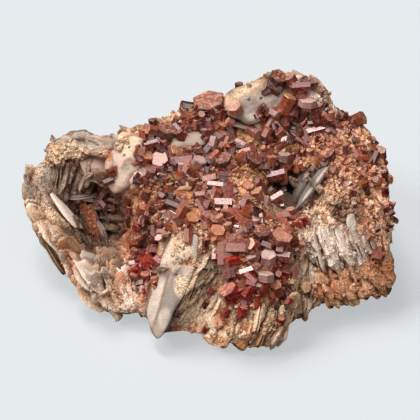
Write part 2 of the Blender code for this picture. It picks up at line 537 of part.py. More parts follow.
def combine(base, tools, operation):
    """Add solids to an object's mesh or cut them out of it, and remove the solids."""
    group = bpy.data.collections.new(operation)
    for tool in tools:
        group.objects.link(tool)
    modifier = base.modifiers.new(operation, "BOOLEAN")
    modifier.operation, modifier.solver = operation, "EXACT"
    modifier.operand_type, modifier.collection = "COLLECTION", group
    result = bpy.data.meshes.new_from_object(base.evaluated_get(bpy.context.evaluated_depsgraph_get()))
    base.modifiers.remove(modifier)
    base.data = result
    for tool in tools:
        bpy.data.objects.remove(tool, do_unlink=True)
    bpy.data.collections.remove(group)


def keep_largest(item):
    """Weld an object's points and drop every loose body but the one with the most volume."""
    work = bmesh.new()
    work.from_mesh(item.data)
    bmesh.ops.remove_doubles(work, verts=work.verts, dist=WELD)
    bmesh.ops.dissolve_limit(work, angle_limit=FLAT, verts=work.verts, edges=work.edges)
    bmesh.ops.triangulate(work, faces=work.faces)
    left, bodies = set(work.faces), []
    while left:
        body, edge = set(), [left.pop()]
        while edge:
            face = edge.pop()
            body.add(face)
            for near in {other for side in face.edges for other in side.link_faces} & left:
                left.discard(near)
                edge.append(near)
        bodies.append(body)

    def volume(body):
        return abs(sum(f.verts[0].co.dot(f.verts[1].co.cross(f.verts[2].co)) for f in body))

    largest = max(bodies, key=volume)
    bmesh.ops.delete(work, geom=[face for face in work.faces if face not in largest], context="FACES")
    work.to_mesh(item.data)
    work.free()
    return len(bodies)


def sphere():
    """Unit directions and faces of the sphere that the core is drawn from."""
    work = bmesh.new()
    bmesh.ops.create_icosphere(work, subdivisions=CORE_DETAIL, radius=1.0)
    directions = np.array([tuple(vert.co) for vert in work.verts])
    faces = [tuple(vert.index for vert in face.verts) for face in work.faces]
    work.free()
    return directions / np.linalg.norm(directions, axis=1)[:, None], faces


def build():
    """Draw the matrix and the crystals."""
    clear_scene()
    stone = new_material("baryte_stone", (0.55, 0.43, 0.34), 0.75)
    red = new_material("vanadinite_red", (0.25, 0.06, 0.035), 0.35)
    core = Core()
    directions, faces = sphere()
    points = core.points(directions)
    blades = [blade_mesh(frame, index) for index, frame in enumerate(blade_frames(core))]

    every_point, every_face = [*points], [*faces]
    for blade_points, blade_faces in blades:
        every_face += [tuple(i + len(every_point) for i in face) for face in blade_faces]
        every_point += [*blade_points]
    tree = BVHTree.FromPolygons([Vector(point) for point in every_point], every_face)
    frames = crystal_frames(tree, core)
    standing, fused = crystal_groups(frames)

    matrix = new_object("baryte_matrix", points, faces, stone)
    tools = [new_object(f"blade_{i}", *blade) for i, blade in enumerate(blades)]
    drawn = [i for i in fused if CRYSTALS[i][2] >= FUSED_WIDTH]
    tools += [new_object(f"grown_{i}", *prism_mesh(frames[i])) for i in drawn]
    combine(matrix, tools, "UNION")
    below = [(x * CUT_REACH, y * CUT_REACH, z)
             for z in (-CUT_REACH, 0.0) for x, y in ((-1, -1), (1, -1), (1, 1), (-1, 1))]
    box = [(0, 3, 2, 1), (4, 5, 6, 7), (0, 1, 5, 4), (1, 2, 6, 5), (2, 3, 7, 6), (3, 0, 4, 7)]
    cutters = [new_object("foot_cut", below, box)]
    for group in standing:
        cutters += [new_object(f"socket_{i}", *prism_mesh(frames[i], PLAY)) for i in group]
    combine(matrix, cutters, "DIFFERENCE")
    bodies = keep_largest(matrix)

    for number, group in enumerate(standing, 1):
        kind = "cluster" if len(group) > 1 else "crystal"
        name = f"vanadinite_{kind}_{number:02d}"
        crystal = new_object(name, *prism_mesh(frames[group[0]]), red)
        if len(group) > 1:
            others = [new_object(f"part_{i}", *prism_mesh(frames[i])) for i in group[1:]]
            combine(crystal, others, "UNION")
            keep_largest(crystal)
    return bodies, standing, fused


build()
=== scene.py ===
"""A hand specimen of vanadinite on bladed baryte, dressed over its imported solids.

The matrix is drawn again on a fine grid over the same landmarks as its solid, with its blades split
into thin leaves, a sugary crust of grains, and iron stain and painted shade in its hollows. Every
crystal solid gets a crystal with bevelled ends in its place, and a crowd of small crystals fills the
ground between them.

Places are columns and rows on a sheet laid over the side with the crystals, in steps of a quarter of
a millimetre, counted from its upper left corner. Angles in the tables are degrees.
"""

from __future__ import annotations

import itertools
import logging
import math
from dataclasses import dataclass, replace
from enum import Enum

import bmesh  # noqa: E402
import bpy  # noqa: E402
import numpy as np  # noqa: E402
from mathutils import Vector  # noqa: E402
from mathutils.bvhtree import BVHTree  # noqa: E402
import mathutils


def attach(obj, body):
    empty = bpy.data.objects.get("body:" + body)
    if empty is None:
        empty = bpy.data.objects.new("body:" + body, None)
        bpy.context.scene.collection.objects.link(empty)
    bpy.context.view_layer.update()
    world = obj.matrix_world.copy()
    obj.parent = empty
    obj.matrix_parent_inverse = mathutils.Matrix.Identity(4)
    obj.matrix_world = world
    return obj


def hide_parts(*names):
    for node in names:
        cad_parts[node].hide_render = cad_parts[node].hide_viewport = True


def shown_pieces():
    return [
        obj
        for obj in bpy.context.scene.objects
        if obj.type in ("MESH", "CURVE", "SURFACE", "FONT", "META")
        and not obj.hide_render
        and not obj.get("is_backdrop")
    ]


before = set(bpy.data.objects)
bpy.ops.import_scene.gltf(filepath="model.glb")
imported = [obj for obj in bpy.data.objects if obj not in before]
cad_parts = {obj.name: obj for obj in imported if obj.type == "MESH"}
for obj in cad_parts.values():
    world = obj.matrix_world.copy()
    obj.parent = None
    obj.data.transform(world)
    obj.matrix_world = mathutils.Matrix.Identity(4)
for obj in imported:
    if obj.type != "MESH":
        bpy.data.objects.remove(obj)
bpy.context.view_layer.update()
LOG = logging.getLogger("specimen")

STEP = 0.00025  # one column or row of the sheet, in metres
MM = 0.001
TAU = math.tau
AHEAD = 0.1  # rays towards the front start this far in front of the sheet, in metres
AWAY = 0.09  # rays from all sides start this far from the sheet's middle


def smooth(low: float, high: float, value: np.ndarray) -> np.ndarray:
    """0 below low, 1 above high, and 3t^2 - 2t^3 between them."""
    share = np.clip((np.asarray(value, float) - low) / (high - low), 0.0, 1.0)
    return share * share * (3 - 2 * share)


def unit(vectors: np.ndarray) -> np.ndarray:
    """Vectors brought to length one along the last axis."""
    return vectors / np.maximum(np.linalg.norm(vectors, axis=-1, keepdims=True), 1e-12)


def turned(first: np.ndarray, second: np.ndarray, angle: float) -> tuple[np.ndarray, np.ndarray]:
    """Two crossed directions, or measures along them, turned by an angle in radians."""
    cosine, sine = math.cos(angle), math.sin(angle)
    return cosine * first + sine * second, cosine * second - sine * first


def fetch(items: bpy.types.bpy_prop_collection, name: str, width: int = 1,
          kind: type = np.float32) -> np.ndarray:
    """A property of every item of a collection, in rows of width numbers where width is over one."""
    values = np.empty(len(items) * width, kind)
    items.foreach_get(name, values)
    return values.reshape(-1, width) if width > 1 else values


def link(name: str, data: bpy.types.ID) -> bpy.types.Object:
    """A new object in the scene for a mesh, a light or a camera."""
    item = bpy.data.objects.new(name, data)
    bpy.context.scene.collection.objects.link(item)
    return item


def linear(code: str) -> np.ndarray:
    """A colour code as linear red, green and blue.

    Args:
        code: six hexadecimal digits.

    Returns:
        Three numbers from 0 to 1.
    """
    values = np.array([int(code[at:at + 2], 16) / 255 for at in (0, 2, 4)])
    return np.where(values <= 0.04045, values / 12.92, ((values + 0.055) / 1.055) ** 2.4)


class Stone(Enum):
    """Colours of the matrix."""

    WHITE = "dccdbf"
    BLUSH = "d3b4a4"
    CREAM = "dcc2a4"
    PEACH = "d5a17e"
    SAND = "c4a07a"
    TAN = "a98562"
    GREY = "a6978a"
    ASH = "8a7767"
    SLATE = "6a6560"
    UMBER = "6f5340"
    OLIVE = "6e5d46"
    OCHRE = "b47a46"
    ORANGE = "bb6a35"
    RUST = "8a4826"
    SOOT = "33251d"

    @property
    def rgb(self) -> np.ndarray:
        """Linear colour."""
        return linear(self.value)


WHITE, BLUSH, CREAM, PEACH, SAND, TAN, GREY, ASH, SLATE, UMBER, OLIVE, OCHRE, ORANGE, RUST, SOOT = Stone


class Gem(Enum):
    """Looks of a vanadinite crystal: colour of its sides, colour of its dusted ends."""

    DEEP = ("3c0c06", "74382a")
    MAROON = ("601a0e", "8c4c38")
    PURPLE = ("74392f", "98665a")
    ROSE = ("944b36", "b0765c")
    ORANGE = ("8a3a18", "ae6a44")
    # Pale look of the crystals that catch glints: a painted highlight.
    BRIGHT = ("a0756c", "b8988e")
    CHERRY = ("84180c", "a04c3a")

    @property
    def sides(self) -> np.ndarray:
        """Linear colour of the prism faces."""
        return linear(self.value[0])

    @property
    def ends(self) -> np.ndarray:
        """Linear colour of the end faces."""
        return linear(self.value[1])


@dataclass(frozen=True)
class Lattice:
    """Repeatable noise from numbers hashed at the corners of a grid of cubes."""

    seed: int = 1
    full: float = 1.75  # height of three layers together

    def corner(self, cells: np.ndarray, salt: int = 0) -> np.ndarray:
        """A number from 0 to 1 for each integer cell, from a hash of its three indices."""
        with np.errstate(over="ignore"):
            x, y, z = (cells[..., axis].astype(np.uint64) for axis in range(3))
            key = x * np.uint64(73856093) ^ y * np.uint64(19349663) ^ z * np.uint64(83492791)
            key ^= np.uint64((self.seed * 2654435761 + salt * 40503) & 0xFFFFFFFF)
            key = (key ^ (key >> np.uint64(15))) * np.uint64(2246822519)
            key = (key ^ (key >> np.uint64(13))) * np.uint64(3266489917)
            key ^= key >> np.uint64(16)
        return (key & np.uint64(0xFFFFFF)).astype(float) / 0xFFFFFF

    def value(self, points: np.ndarray, cell: float) -> np.ndarray:
        """Smooth noise from -1 to 1: corner numbers blended across each cube of side cell."""
        scaled = points / cell + 1000.0
        base = np.floor(scaled)
        part = scaled - base
        part = part * part * (3 - 2 * part)
        base = base.astype(np.int64)
        total = np.zeros(points.shape[:-1])
        for step in itertools.product((0, 1), repeat=3):
            sides = [part[..., axis] if step[axis] else 1 - part[..., axis] for axis in range(3)]
            total += sides[0] * sides[1] * sides[2] * self.corner(base + np.array(step))
        return total * 2 - 1

    def layers(self, points: np.ndarray, cell: float, count: int = 3) -> np.ndarray:
        """Sum of count layers of noise, each of half the cell and half the height of the last."""
        total, height = np.zeros(points.shape[:-1]), 1.0
        for layer in range(count):
            total += height * Lattice(self.seed + 7 * layer).value(points, cell / 2**layer)
            height /= 2
        return total / self.full

    def pebbles(self, points: np.ndarray, cell: float) -> np.ndarray:
        """Distance to the nearest of the points scattered one to a cube of side cell, in cells."""
        scaled = points / cell + 1000.0
        base = np.floor(scaled).astype(np.int64)
        nearest = np.full(points.shape[:-1], 9.0)
        for step in itertools.product((-1, 0, 1), repeat=3):
            near = base + np.array(step)
            spot = near + np.stack([self.corner(near, salt) for salt in (1, 2, 3)], axis=-1)
            nearest = np.minimum(nearest, ((spot - scaled) ** 2).sum(axis=-1))
        return np.sqrt(nearest)


# The outline of the core on the sheet, clockwise from its left tip: column, row, height
OUTLINE = (
    (25, 187, 14), (33, 173, 17), (43, 157, 20), (52, 143, 23), (63, 135, 25), (80, 134, 25),
    (100, 137, 26), (118, 134, 27.5), (135, 129, 29), (150, 125, 30), (165, 117, 31), (182, 108, 33),
    (196, 105, 34), (210, 102, 35), (228, 97, 35), (245, 86, 37), (260, 78, 39), (272, 72, 40.5),
    (288, 72, 41), (302, 78, 40.5), (318, 90, 39), (332, 106, 36.5), (350, 119, 33.5),
    (364, 127, 31.5), (374, 144, 29), (384, 162, 27), (389, 180, 24), (391, 200, 21), (390, 220, 19),
    (389, 245, 14.5), (393, 268, 9.5), (394, 282, 6), (387, 291, 4), (370, 295, 3.5), (350, 303, 3),
    (335, 303, 3), (322, 300, 4), (311, 309, 3), (297, 315, 3), (288, 323, 3), (282, 338, 2.5),
    (268, 345, 2), (250, 347, 2), (232, 341, 3), (220, 346, 2), (209, 343, 2), (202, 333, 3),
    (188, 331, 3), (172, 332, 2.5), (160, 333, 2), (154, 320, 3), (141, 312, 3.5), (120, 313, 3),
    (110, 310, 3.5), (98, 300, 4.5), (84, 285, 5), (70, 268, 6), (55, 249, 7), (44, 235, 8.5),
    (33, 212, 11), (27, 197, 13),
)
# Landmarks on the side that shows: column, row, height
FRONT = (
    (75, 155, 22), (62, 170, 18), (95, 165, 20), (60, 190, 13.5), (90, 190, 12), (78, 212, 7),
    (100, 215, 5.5), (118, 215, 9), (85, 240, 4), (105, 240, 4.5), (52, 220, 10), (70, 248, 7.5),
    (88, 270, 6.5), (110, 165, 22), (130, 150, 26), (140, 170, 24.5), (128, 190, 20), (150, 200, 20),
    (150, 225, 16), (148, 245, 9), (147, 268, 6.5), (122, 262, 9.5), (110, 285, 7.5), (135, 295, 6.5),
    (165, 160, 26.5), (160, 140, 28.5), (185, 130, 31), (200, 112, 34), (225, 118, 32), (215, 150, 28),
    (200, 180, 26), (180, 205, 24), (215, 210, 24.5), (250, 140, 29), (245, 165, 27.5), (250, 190, 25.5),
    (245, 215, 24.5), (250, 100, 36.5), (275, 95, 38), (270, 120, 33.5), (300, 105, 36.5),
    (300, 125, 32), (320, 120, 34), (340, 140, 31), (315, 150, 29.5), (280, 160, 25), (292, 190, 17.5),
    (283, 203, 18), (312, 190, 22), (330, 175, 26.5), (360, 165, 28), (345, 195, 24.5), (372, 200, 22.5),
    (320, 215, 21), (285, 225, 22), (300, 240, 19), (270, 245, 20.5), (240, 250, 21), (215, 240, 22.5),
    (190, 235, 22.5), (175, 250, 19.5), (172, 275, 14.5), (166, 305, 8), (190, 280, 13.5),
    (190, 305, 8), (215, 270, 15), (222, 300, 11), (222, 325, 6), (245, 285, 15.5), (255, 310, 10),
    (262, 330, 5.5), (275, 275, 15), (285, 300, 8.5), (305, 265, 13), (303, 290, 7.5), (340, 235, 17),
    (340, 262, 12), (340, 285, 7), (365, 240, 16), (372, 262, 11.5), (375, 280, 7.5),
)
# Landmarks on the side that faces away and under the foot, in mm: x and y from the sheet's middle and
# height above the foot
REAR = (
    (-42, 18, 11), (-33, 27, 13), (-18, 31, 12), (-2, 35, 13), (13, 37, 15), (28, 34, 14),
    (38, 26, 13), (43, 13, 9), (-24, 25, 20), (-6, 29, 26), (14, 33, 30), (30, 28, 25), (40, 17, 18),
    (-34, 20, 4), (-18, 27, 4), (-2, 31, 4), (14, 33, 4), (29, 29, 4), (37, 19, 3), (-30, 12, -3),
    (-12, 16, -5), (6, 18, -5), (25, 16, -5), (-20, -2, -3), (0, 0, -5), (22, 0, -4), (-8, -18, -3),
    (10, -20, -3), (33, -6, -2), (-28, -4, -1),
)


@dataclass(frozen=True)
class Sheet:
    """The sheet that places are given on: it leans back over the side with the crystals."""

    tilt: float = math.radians(40)
    middle: tuple[float, float] = (210.0, 210.0)
    point: tuple[float, float, float] = (0.00072, -0.00234, 0.018)

    @property
    def across(self) -> np.ndarray:
        """Direction of growing columns."""
        return np.array([1.0, 0.0, 0.0])

    @property
    def rise(self) -> np.ndarray:
        """Direction of falling rows."""
        return np.array([0.0, math.sin(self.tilt), math.cos(self.tilt)])

    @property
    def out(self) -> np.ndarray:
        """Direction that the sheet faces."""
        return np.array([0.0, -math.cos(self.tilt), math.sin(self.tilt)])

    def place(self, columns: np.ndarray, rows: np.ndarray, outs: np.ndarray) -> np.ndarray:
        """Points at places on the sheet.

        Args:
            columns: columns of the places.
            rows: rows of the places.
            outs: how far in front of the sheet, in metres.

        Returns:
            Points in metres, with one more axis than the inputs.
        """
        across = (np.asarray(columns, float) - self.middle[0]) * STEP
        rise = (self.middle[1] - np.asarray(rows, float)) * STEP
        arms = across[..., None] * self.across + rise[..., None] * self.rise
        return arms + np.asarray(outs, float)[..., None] * self.out + np.array(self.point)

    def read(self, points: np.ndarray) -> tuple[np.ndarray, np.ndarray, np.ndarray]:
        """Columns, rows and reach in front of the sheet of points in metres."""
        arms = np.asarray(points, float) - np.array(self.point)
        columns = self.middle[0] + arms @ self.across / STEP
        return columns, self.middle[1] - arms @ self.rise / STEP, arms @ self.out

    def out_at_height(self, rows: np.ndarray, height: np.ndarray) -> np.ndarray:
        """How far in front of the sheet a row reaches a height, both in metres."""
        rise = (self.middle[1] - np.asarray(rows, float)) * STEP
        return (np.asarray(height, float) - self.point[2] - rise * self.rise[2]) / self.out[2]


SHEET = Sheet()


class Core:
    """The core of the matrix: a front skin and a rear skin that meet at the outline.

    Each skin is a sum of cones with rounded tips, one on each landmark, weighted so that it runs
    through every landmark. Towards the outline both skins bend round to meet, as on a pebble.
    """

    softness: float = 12.0  # radius of the rounded tips, in columns
    easing: float = 0.5  # how far the skin may miss a landmark
    least: float = 0.014  # least distance between the skins, in metres
    thin: float = 0.0004  # keeps places on the outline from dividing by zero

    def __init__(self) -> None:
        """Fit both skins to their landmarks."""
        outline, front = np.array(OUTLINE, float), np.array(FRONT, float)
        east, north = outline[:, 0] - SHEET.middle[0], SHEET.middle[1] - outline[:, 1]
        bearings = np.arctan2(north, east)
        order = np.argsort(bearings)
        self.bearings = bearings[order]
        self.radii = np.hypot(east, north)[order]
        self.edge = SHEET.out_at_height(outline[:, 1], outline[:, 2] * MM)[order]
        self.front = self.fit(front[:, 0], front[:, 1], SHEET.out_at_height(front[:, 1], front[:, 2] * MM))
        self.rear = self.fit(*SHEET.read(np.array(REAR, float) * MM + np.array(SHEET.point) * (1, 1, 0)))

    def rim(self, bearing: np.ndarray) -> tuple[np.ndarray, np.ndarray]:
        """Distance of the outline from the sheet's middle, in columns, and its reach, at bearings."""
        radius = np.interp(bearing, self.bearings, self.radii, period=TAU)
        return radius, np.interp(bearing, self.bearings, self.edge, period=TAU)

    def polar(self, columns: np.ndarray, rows: np.ndarray) -> tuple[np.ndarray, np.ndarray]:
        """The outline's reach at the bearing of places on the sheet, and how far inward they lie."""
        east, north = np.asarray(columns, float) - SHEET.middle[0], SHEET.middle[1] - np.asarray(rows, float)
        radius, edge = self.rim(np.arctan2(north, east))
        return edge, np.sqrt(np.clip(1 - (np.hypot(east, north) / radius) ** 2, self.thin, 1))

    def fit(self, columns: np.ndarray, rows: np.ndarray, outs: np.ndarray) -> tuple:
        """Weights of the cones that bring a skin through its landmarks."""
        edge, inward = self.polar(columns, rows)
        goals = (outs - edge * (1 - inward)) / inward
        cones = np.hypot(np.hypot(columns[:, None] - columns, rows[:, None] - rows), self.softness)
        weights = np.linalg.solve(cones + self.easing * np.eye(len(goals)), goals - goals.mean())
        return columns, rows, goals.mean(), weights

    def skin(self, fitted: tuple, lumps: tuple, columns: np.ndarray, rows: np.ndarray, inward: np.ndarray,
             edge: np.ndarray) -> np.ndarray:
        """Reach in front of the sheet of one skin with its lumps."""
        marks_c, marks_r, base, weights = fitted
        cones = np.hypot(np.hypot(columns[..., None] - marks_c, rows[..., None] - marks_r), self.softness)
        return edge * (1 - inward) + inward * (base + cones @ weights) + waves(columns, rows, lumps) * inward

    def front_out(self, columns: np.ndarray, rows: np.ndarray) -> np.ndarray:
        """Reach in front of the sheet of the front skin at places on the sheet."""
        columns, rows = np.asarray(columns, float), np.asarray(rows, float)
        edge, inward = self.polar(columns, rows)
        return self.skin(self.front, FRONT_LUMPS, columns, rows, inward, edge)

    def points(self, east: np.ndarray, north: np.ndarray, outward: np.ndarray) -> np.ndarray:
        """Points of the skin for the parts of unit directions across, up and out of the sheet."""
        radius, edge = self.rim(np.arctan2(north, east))
        columns, rows = SHEET.middle[0] + east * radius, SHEET.middle[1] - north * radius
        inward = np.abs(outward)
        front = self.skin(self.front, FRONT_LUMPS, columns, rows, inward, edge)
        rear = self.skin(self.rear, REAR_LUMPS, columns, rows, inward, edge)
        outs = np.where(outward > 0, front, np.minimum(rear, front - self.least * inward))
        return SHEET.place(columns, rows, np.maximum(outs, SHEET.out_at_height(rows, 0.0)))

    def toward(self, directions: np.ndarray) -> np.ndarray:
        """Points of the skin for unit directions in the specimen's own frame."""
        return self.points(directions @ SHEET.across, directions @ SHEET.rise, directions @ SHEET.out)

    def place(self, bearing: float, height: float, reach: float = 0.05) -> tuple[np.ndarray, np.ndarray]:
        """Point and outward normal of the skin where it is seen at a bearing and height, in radians."""
        turns = np.array([[bearing, height], [bearing + reach, height], [bearing, height + reach]])
        level = np.cos(turns[:, 1])
        points = self.toward(np.column_stack(
            [np.cos(turns[:, 0]) * level, np.sin(turns[:, 0]) * level, np.sin(turns[:, 1])]))
        normal = np.cross(points[1] - points[0], points[2] - points[0])
        return points[0], normal / np.linalg.norm(normal)


def waves(columns: np.ndarray, rows: np.ndarray, table: tuple) -> np.ndarray:
    """Lumps and hollows: a sum of slanting waves given by height, length and slant."""
    total = np.zeros(np.shape(columns))
    for number, (height, length, slant) in enumerate(table):
        phase = TAU / length
        along, beside = turned(columns, rows, math.radians(slant))
        total = total + height * np.sin(along * phase + number) * np.cos(beside * phase * 0.8 + 2.0 * number)
    return total


FRONT_LUMPS = ((0.00045, 31, 20), (0.00030, 19, 65))
REAR_LUMPS = ((-0.0022, 74, 15), (-0.0014, 43, 55), (-0.0008, 27, -30))


@dataclass(frozen=True)
class LeafForm:
    """How a blade is drawn.

    Attributes:
        leaves: how many leaves it is split into.
        around: points round each.
        rings: rings of points from the middle to the rim.
        power: roundness of its edge.
        rough: share of its relief that shows.
        grit: how grainy its skin is, from 0 to 1.
        foot: how deep it is stained where it meets the core.
        swell: height of its broad swells, in mm.
        crease: height between its creases.
        pebble: height of its pebbles.
        ridge: height of the ridges along it.
    """

    leaves: int
    around: int
    rings: int
    power: float
    rough: float
    grit: float
    foot: float
    swell: float
    crease: float
    pebble: float
    ridge: float


class Leaf(Enum):
    """Kinds of blade."""

    PLATE = LeafForm(3, 44, 10, 3.2, 0.10, 0.45, 0.5, 0.9, 0, 0, 0.7)
    SLAB = LeafForm(2, 48, 12, 3.0, 0.12, 0.3, 0.15, 1.2, 0, 0, 0.3)
    KNIFE = LeafForm(1, 64, 20, 3.2, 0.10, 0.2, 0.8, 0.8, 0, 0, 0.6)
    RIB = LeafForm(2, 44, 12, 2.4, 0.42, 1.0, 0.8, 0.6, 0, 0, 0.9)
    LENS = LeafForm(1, 84, 24, 2.6, 0.10, 0.15, 0.35, 1.4, 0, 0, 0.35)
    NODULE = LeafForm(1, 96, 30, 2.0, 0.62, 0.2, 0.4, 1.0, 1.6, 0, 0.2)
    CRUST = LeafForm(1, 96, 30, 2.2, 0.45, 1.0, 0.8, 0.5, 0, 1.0, 0)
    LUMP = LeafForm(1, 56, 18, 2.0, 0.75, 1.0, 0.8, 1.2, 0, 0.9, 0)


PLATE, SLAB, KNIFE, RIB, LENS, NODULE, CRUST, LUMP = Leaf


@dataclass(frozen=True)
class Blade:
    """A lens-shaped blade of baryte.

    Attributes:
        column: column of its middle on the sheet.
        row: row of its middle.
        trace: direction of its long edge on the sheet, from the right, anticlockwise.
        lean: 0 when it is seen edge on, 90 when its face lies along the sheet.
        length: half its long axis.
        depth: half its short axis.
        thick: its thickness.
        proud: how far it stands in front of the core's skin.
    """

    column: float
    row: float
    trace: float
    lean: float
    length: float
    depth: float
    thick: float
    proud: float

    def toward(self, last: Blade, share: float) -> Blade:
        """The blade a share of the way to another, set a little unevenly."""
        ends = zip(vars(self).values(), vars(last).values())
        blade = Blade(*(a + (b - a) * share for a, b in ends))
        wave = [math.sin(blade.column * 1.7 + blade.row * turn) for turn in (0.9, 1.9, 2.7, 3.3)]
        return replace(blade, trace=blade.trace + 5 * wave[0], lean=blade.lean + 7 * wave[1],
                       length=blade.length * (1 + 0.14 * wave[2]), proud=blade.proud + 2 * wave[3])

    def frame(self, core: Core) -> tuple:
        """Middle, long axis, normal and sizes in metres of the blade on a core."""
        along, beside = turned(SHEET.across, SHEET.rise, math.radians(self.trace))
        normal, _ = turned(beside, SHEET.out, math.radians(self.lean))
        sunk = (self.proud - self.depth * math.cos(math.radians(self.lean))) * STEP
        middle = SHEET.place(self.column, self.row, core.front_out(self.column, self.row) + sunk)
        return middle, along, normal, np.array([self.length, self.depth, self.thick]) * STEP


@dataclass(frozen=True)
class Fan:
    """Blades in a row, from the first to the last.

    Attributes:
        count: how many blades.
        first: the first blade.
        last: the last blade, or None where there is one only.
        leaf: how they are drawn.
        pale: colour of their edges and faces.
        stain: colour towards their foot and in their hollows.
    """

    count: int
    first: Blade
    last: Blade | None
    leaf: Leaf
    pale: Stone
    stain: Stone

    def blades(self) -> list[Blade]:
        """The fan's blades in order."""
        if self.last is None:
            return [self.first]
        return [self.first.toward(self.last, at / (self.count - 1)) for at in range(self.count)]


FANS = (
    # Plates round the lower left, stacked outwards, and the pointed blade above them
    Fan(3, Blade(48, 236, -57, 12, 52, 26, 6, 5), Blade(84, 262, -50, 24, 46, 24, 7, 7), SLAB, CREAM, ORANGE),
    Fan(2, Blade(33, 196, -72, 10, 24, 16, 6, 4), Blade(45, 212, -66, 20, 26, 18, 6, 6), SLAB, GREY, SAND),
    Fan(1, Blade(61, 207, -51, 22, 28, 10, 5, 14), None, KNIFE, WHITE, WHITE),
    Fan(1, Blade(92, 262, -42, 52, 17, 12, 5, 8), None, KNIFE, GREY, ASH),
    # Rounded lobe on the upper left, its ribs, and the shelf under them
    Fan(2, Blade(72, 146, 12, 58, 24, 17, 17, 4), Blade(104, 147, -9, 50, 26, 12, 11, 4), LUMP, GREY, PEACH),
    Fan(5, Blade(55, 176, 82, 12, 18, 13, 7, 4), Blade(98, 170, 68, 12, 17, 12, 6, 4), RIB, GREY, UMBER),
    Fan(2, Blade(93, 191, 8, 28, 25, 16, 5, 11), Blade(104, 198, -2, 22, 19, 14, 4, 7), PLATE, GREY, ASH),
    # Smooth pale plates and the nodule beside them
    Fan(1, Blade(104, 163, 28, 64, 24, 19, 7, 6), None, LENS, BLUSH, GREY),
    Fan(1, Blade(128, 162, 52, 70, 30, 18, 17, 8), None, NODULE, BLUSH, GREY),
    # Hollow on the left: rusty plate, two thin blades, layered floor
    Fan(1, Blade(89, 231, 100, 46, 32, 12, 6, 16), None, CRUST, RUST, ORANGE),
    Fan(2, Blade(101, 236, 104, 32, 18, 10, 3.5, 15), Blade(105, 257, 36, 48, 15, 10, 6, 12),
        PLATE, GREY, UMBER),
    Fan(3, Blade(112, 203, 6, 30, 20, 13, 5, 8), Blade(116, 226, -4, 30, 17, 12, 5, 6), RIB, OLIVE, UMBER),
    # Mass on the lower left
    Fan(4, Blade(105, 287, -54, 16, 27, 15, 7, 5), Blade(139, 294, -72, 20, 22, 14, 6, 4),
        RIB, CREAM, ORANGE),
    # Big lens at the front, the ribs behind it and the crust over it
    Fan(1, Blade(172, 281, 70, 50, 52, 21, 10, 13), None, LENS, GREY, GREY),
    Fan(5, Blade(184, 284, 66, 18, 43, 18, 7, 8), Blade(216, 262, 54, 6, 34, 16, 6, 6), RIB, CREAM, OLIVE),
    Fan(1, Blade(166, 245, 80, 52, 18, 10, 7, 5), None, LENS, TAN, GREY),
    # Lower middle
    Fan(2, Blade(212, 322, 82, 30, 22, 14, 9, 6), Blade(226, 323, 80, 52, 21, 14, 10, 6), LUMP, CREAM, SAND),
    Fan(1, Blade(255, 318, 77, 22, 17, 10, 6, 8), None, SLAB, CREAM, SAND),
    Fan(3, Blade(262, 326, 72, 18, 22, 13, 6, 5), Blade(280, 322, 64, 26, 26, 14, 6, 5), RIB, TAN, UMBER),
    Fan(1, Blade(240, 332, 88, 46, 16, 14, 12, 5), None, CRUST, OCHRE, UMBER),
    # Summit: nodule, right shoulder, rim of a thin blade, smooth patch
    Fan(1, Blade(256, 99, 24, 62, 34, 22, 17, 6), None, NODULE, GREY, PEACH),
    Fan(2, Blade(314, 96, -44, 50, 25, 16, 13, 3), Blade(338, 122, -46, 50, 24, 14, 12, 3),
        CRUST, CREAM, ORANGE),
    Fan(2, Blade(243, 123, -18, 34, 21, 10, 4, 7), Blade(190, 139, 6, 50, 18, 11, 8, 5), LENS, ASH, GREY),
    # Cleft right of the middle: wing blade over it, dark blades in it, striped slips on its left
    Fan(2, Blade(299, 190, 66, 26, 27, 10, 6, 18), Blade(311, 188, 52, 40, 27, 8, 5, 21),
        KNIFE, SLATE, SLATE),
    Fan(3, Blade(297, 180, -48, 44, 14, 9, 6, 7), Blade(281, 205, -14, 46, 15, 9, 6, 6), LENS, OLIVE, SOOT),
    Fan(3, Blade(270, 198, -28, 30, 19, 9, 4.5, 6), Blade(262, 218, -34, 30, 17, 9, 4.5, 5), RIB, CREAM, TAN),
    # Right side: feathered slabs, ridged foot, upright blades, slips at the edge
    Fan(3, Blade(318, 247, -80, 26, 24, 14, 8, 8), Blade(344, 239, -66, 36, 20, 13, 8, 10),
        SLAB, WHITE, GREY),
    Fan(3, Blade(351, 252, -60, 26, 22, 14, 8, 8), Blade(374, 243, -74, 34, 18, 12, 7, 6), SLAB, GREY, TAN),
    Fan(6, Blade(326, 282, -76, 24, 22, 14, 8, 7), Blade(378, 275, -62, 24, 20, 14, 8, 5), LUMP, OCHRE, TAN),
    Fan(4, Blade(293, 289, 84, 14, 25, 14, 6, 8), Blade(316, 282, -74, 20, 25, 14, 6, 7), SLAB, CREAM, OCHRE),
    Fan(2, Blade(351, 222, -76, 48, 9, 6, 3, 9), Blade(383, 222, -82, 38, 19, 8, 4, 6), PLATE, WHITE, CREAM),
)


# Fans on the sides that face away: bearing and height of their place as seen from the middle, slant of
# the long edge from upright, lean of the face away from the middle, how many, spread of the bearings,
# and length, depth and thickness as for a blade
REAR_FANS = (
    (16, 2, 24, 68, 2, 16, 22, 15, 9), (46, -10, -18, 40, 3, 24, 25, 18, 10),
    (56, 14, 22, 54, 3, 20, 24, 17, 11), (86, -10, 10, 42, 4, 30, 32, 22, 10),
    (92, 12, -28, 50, 3, 26, 32, 21, 10), (128, -6, -20, 40, 3, 26, 30, 20, 10),
    (126, 14, 16, 54, 3, 20, 28, 18, 9),
)
REAR_PROUD = 0.5  # share of its depth that a blade's middle lies under the skin there

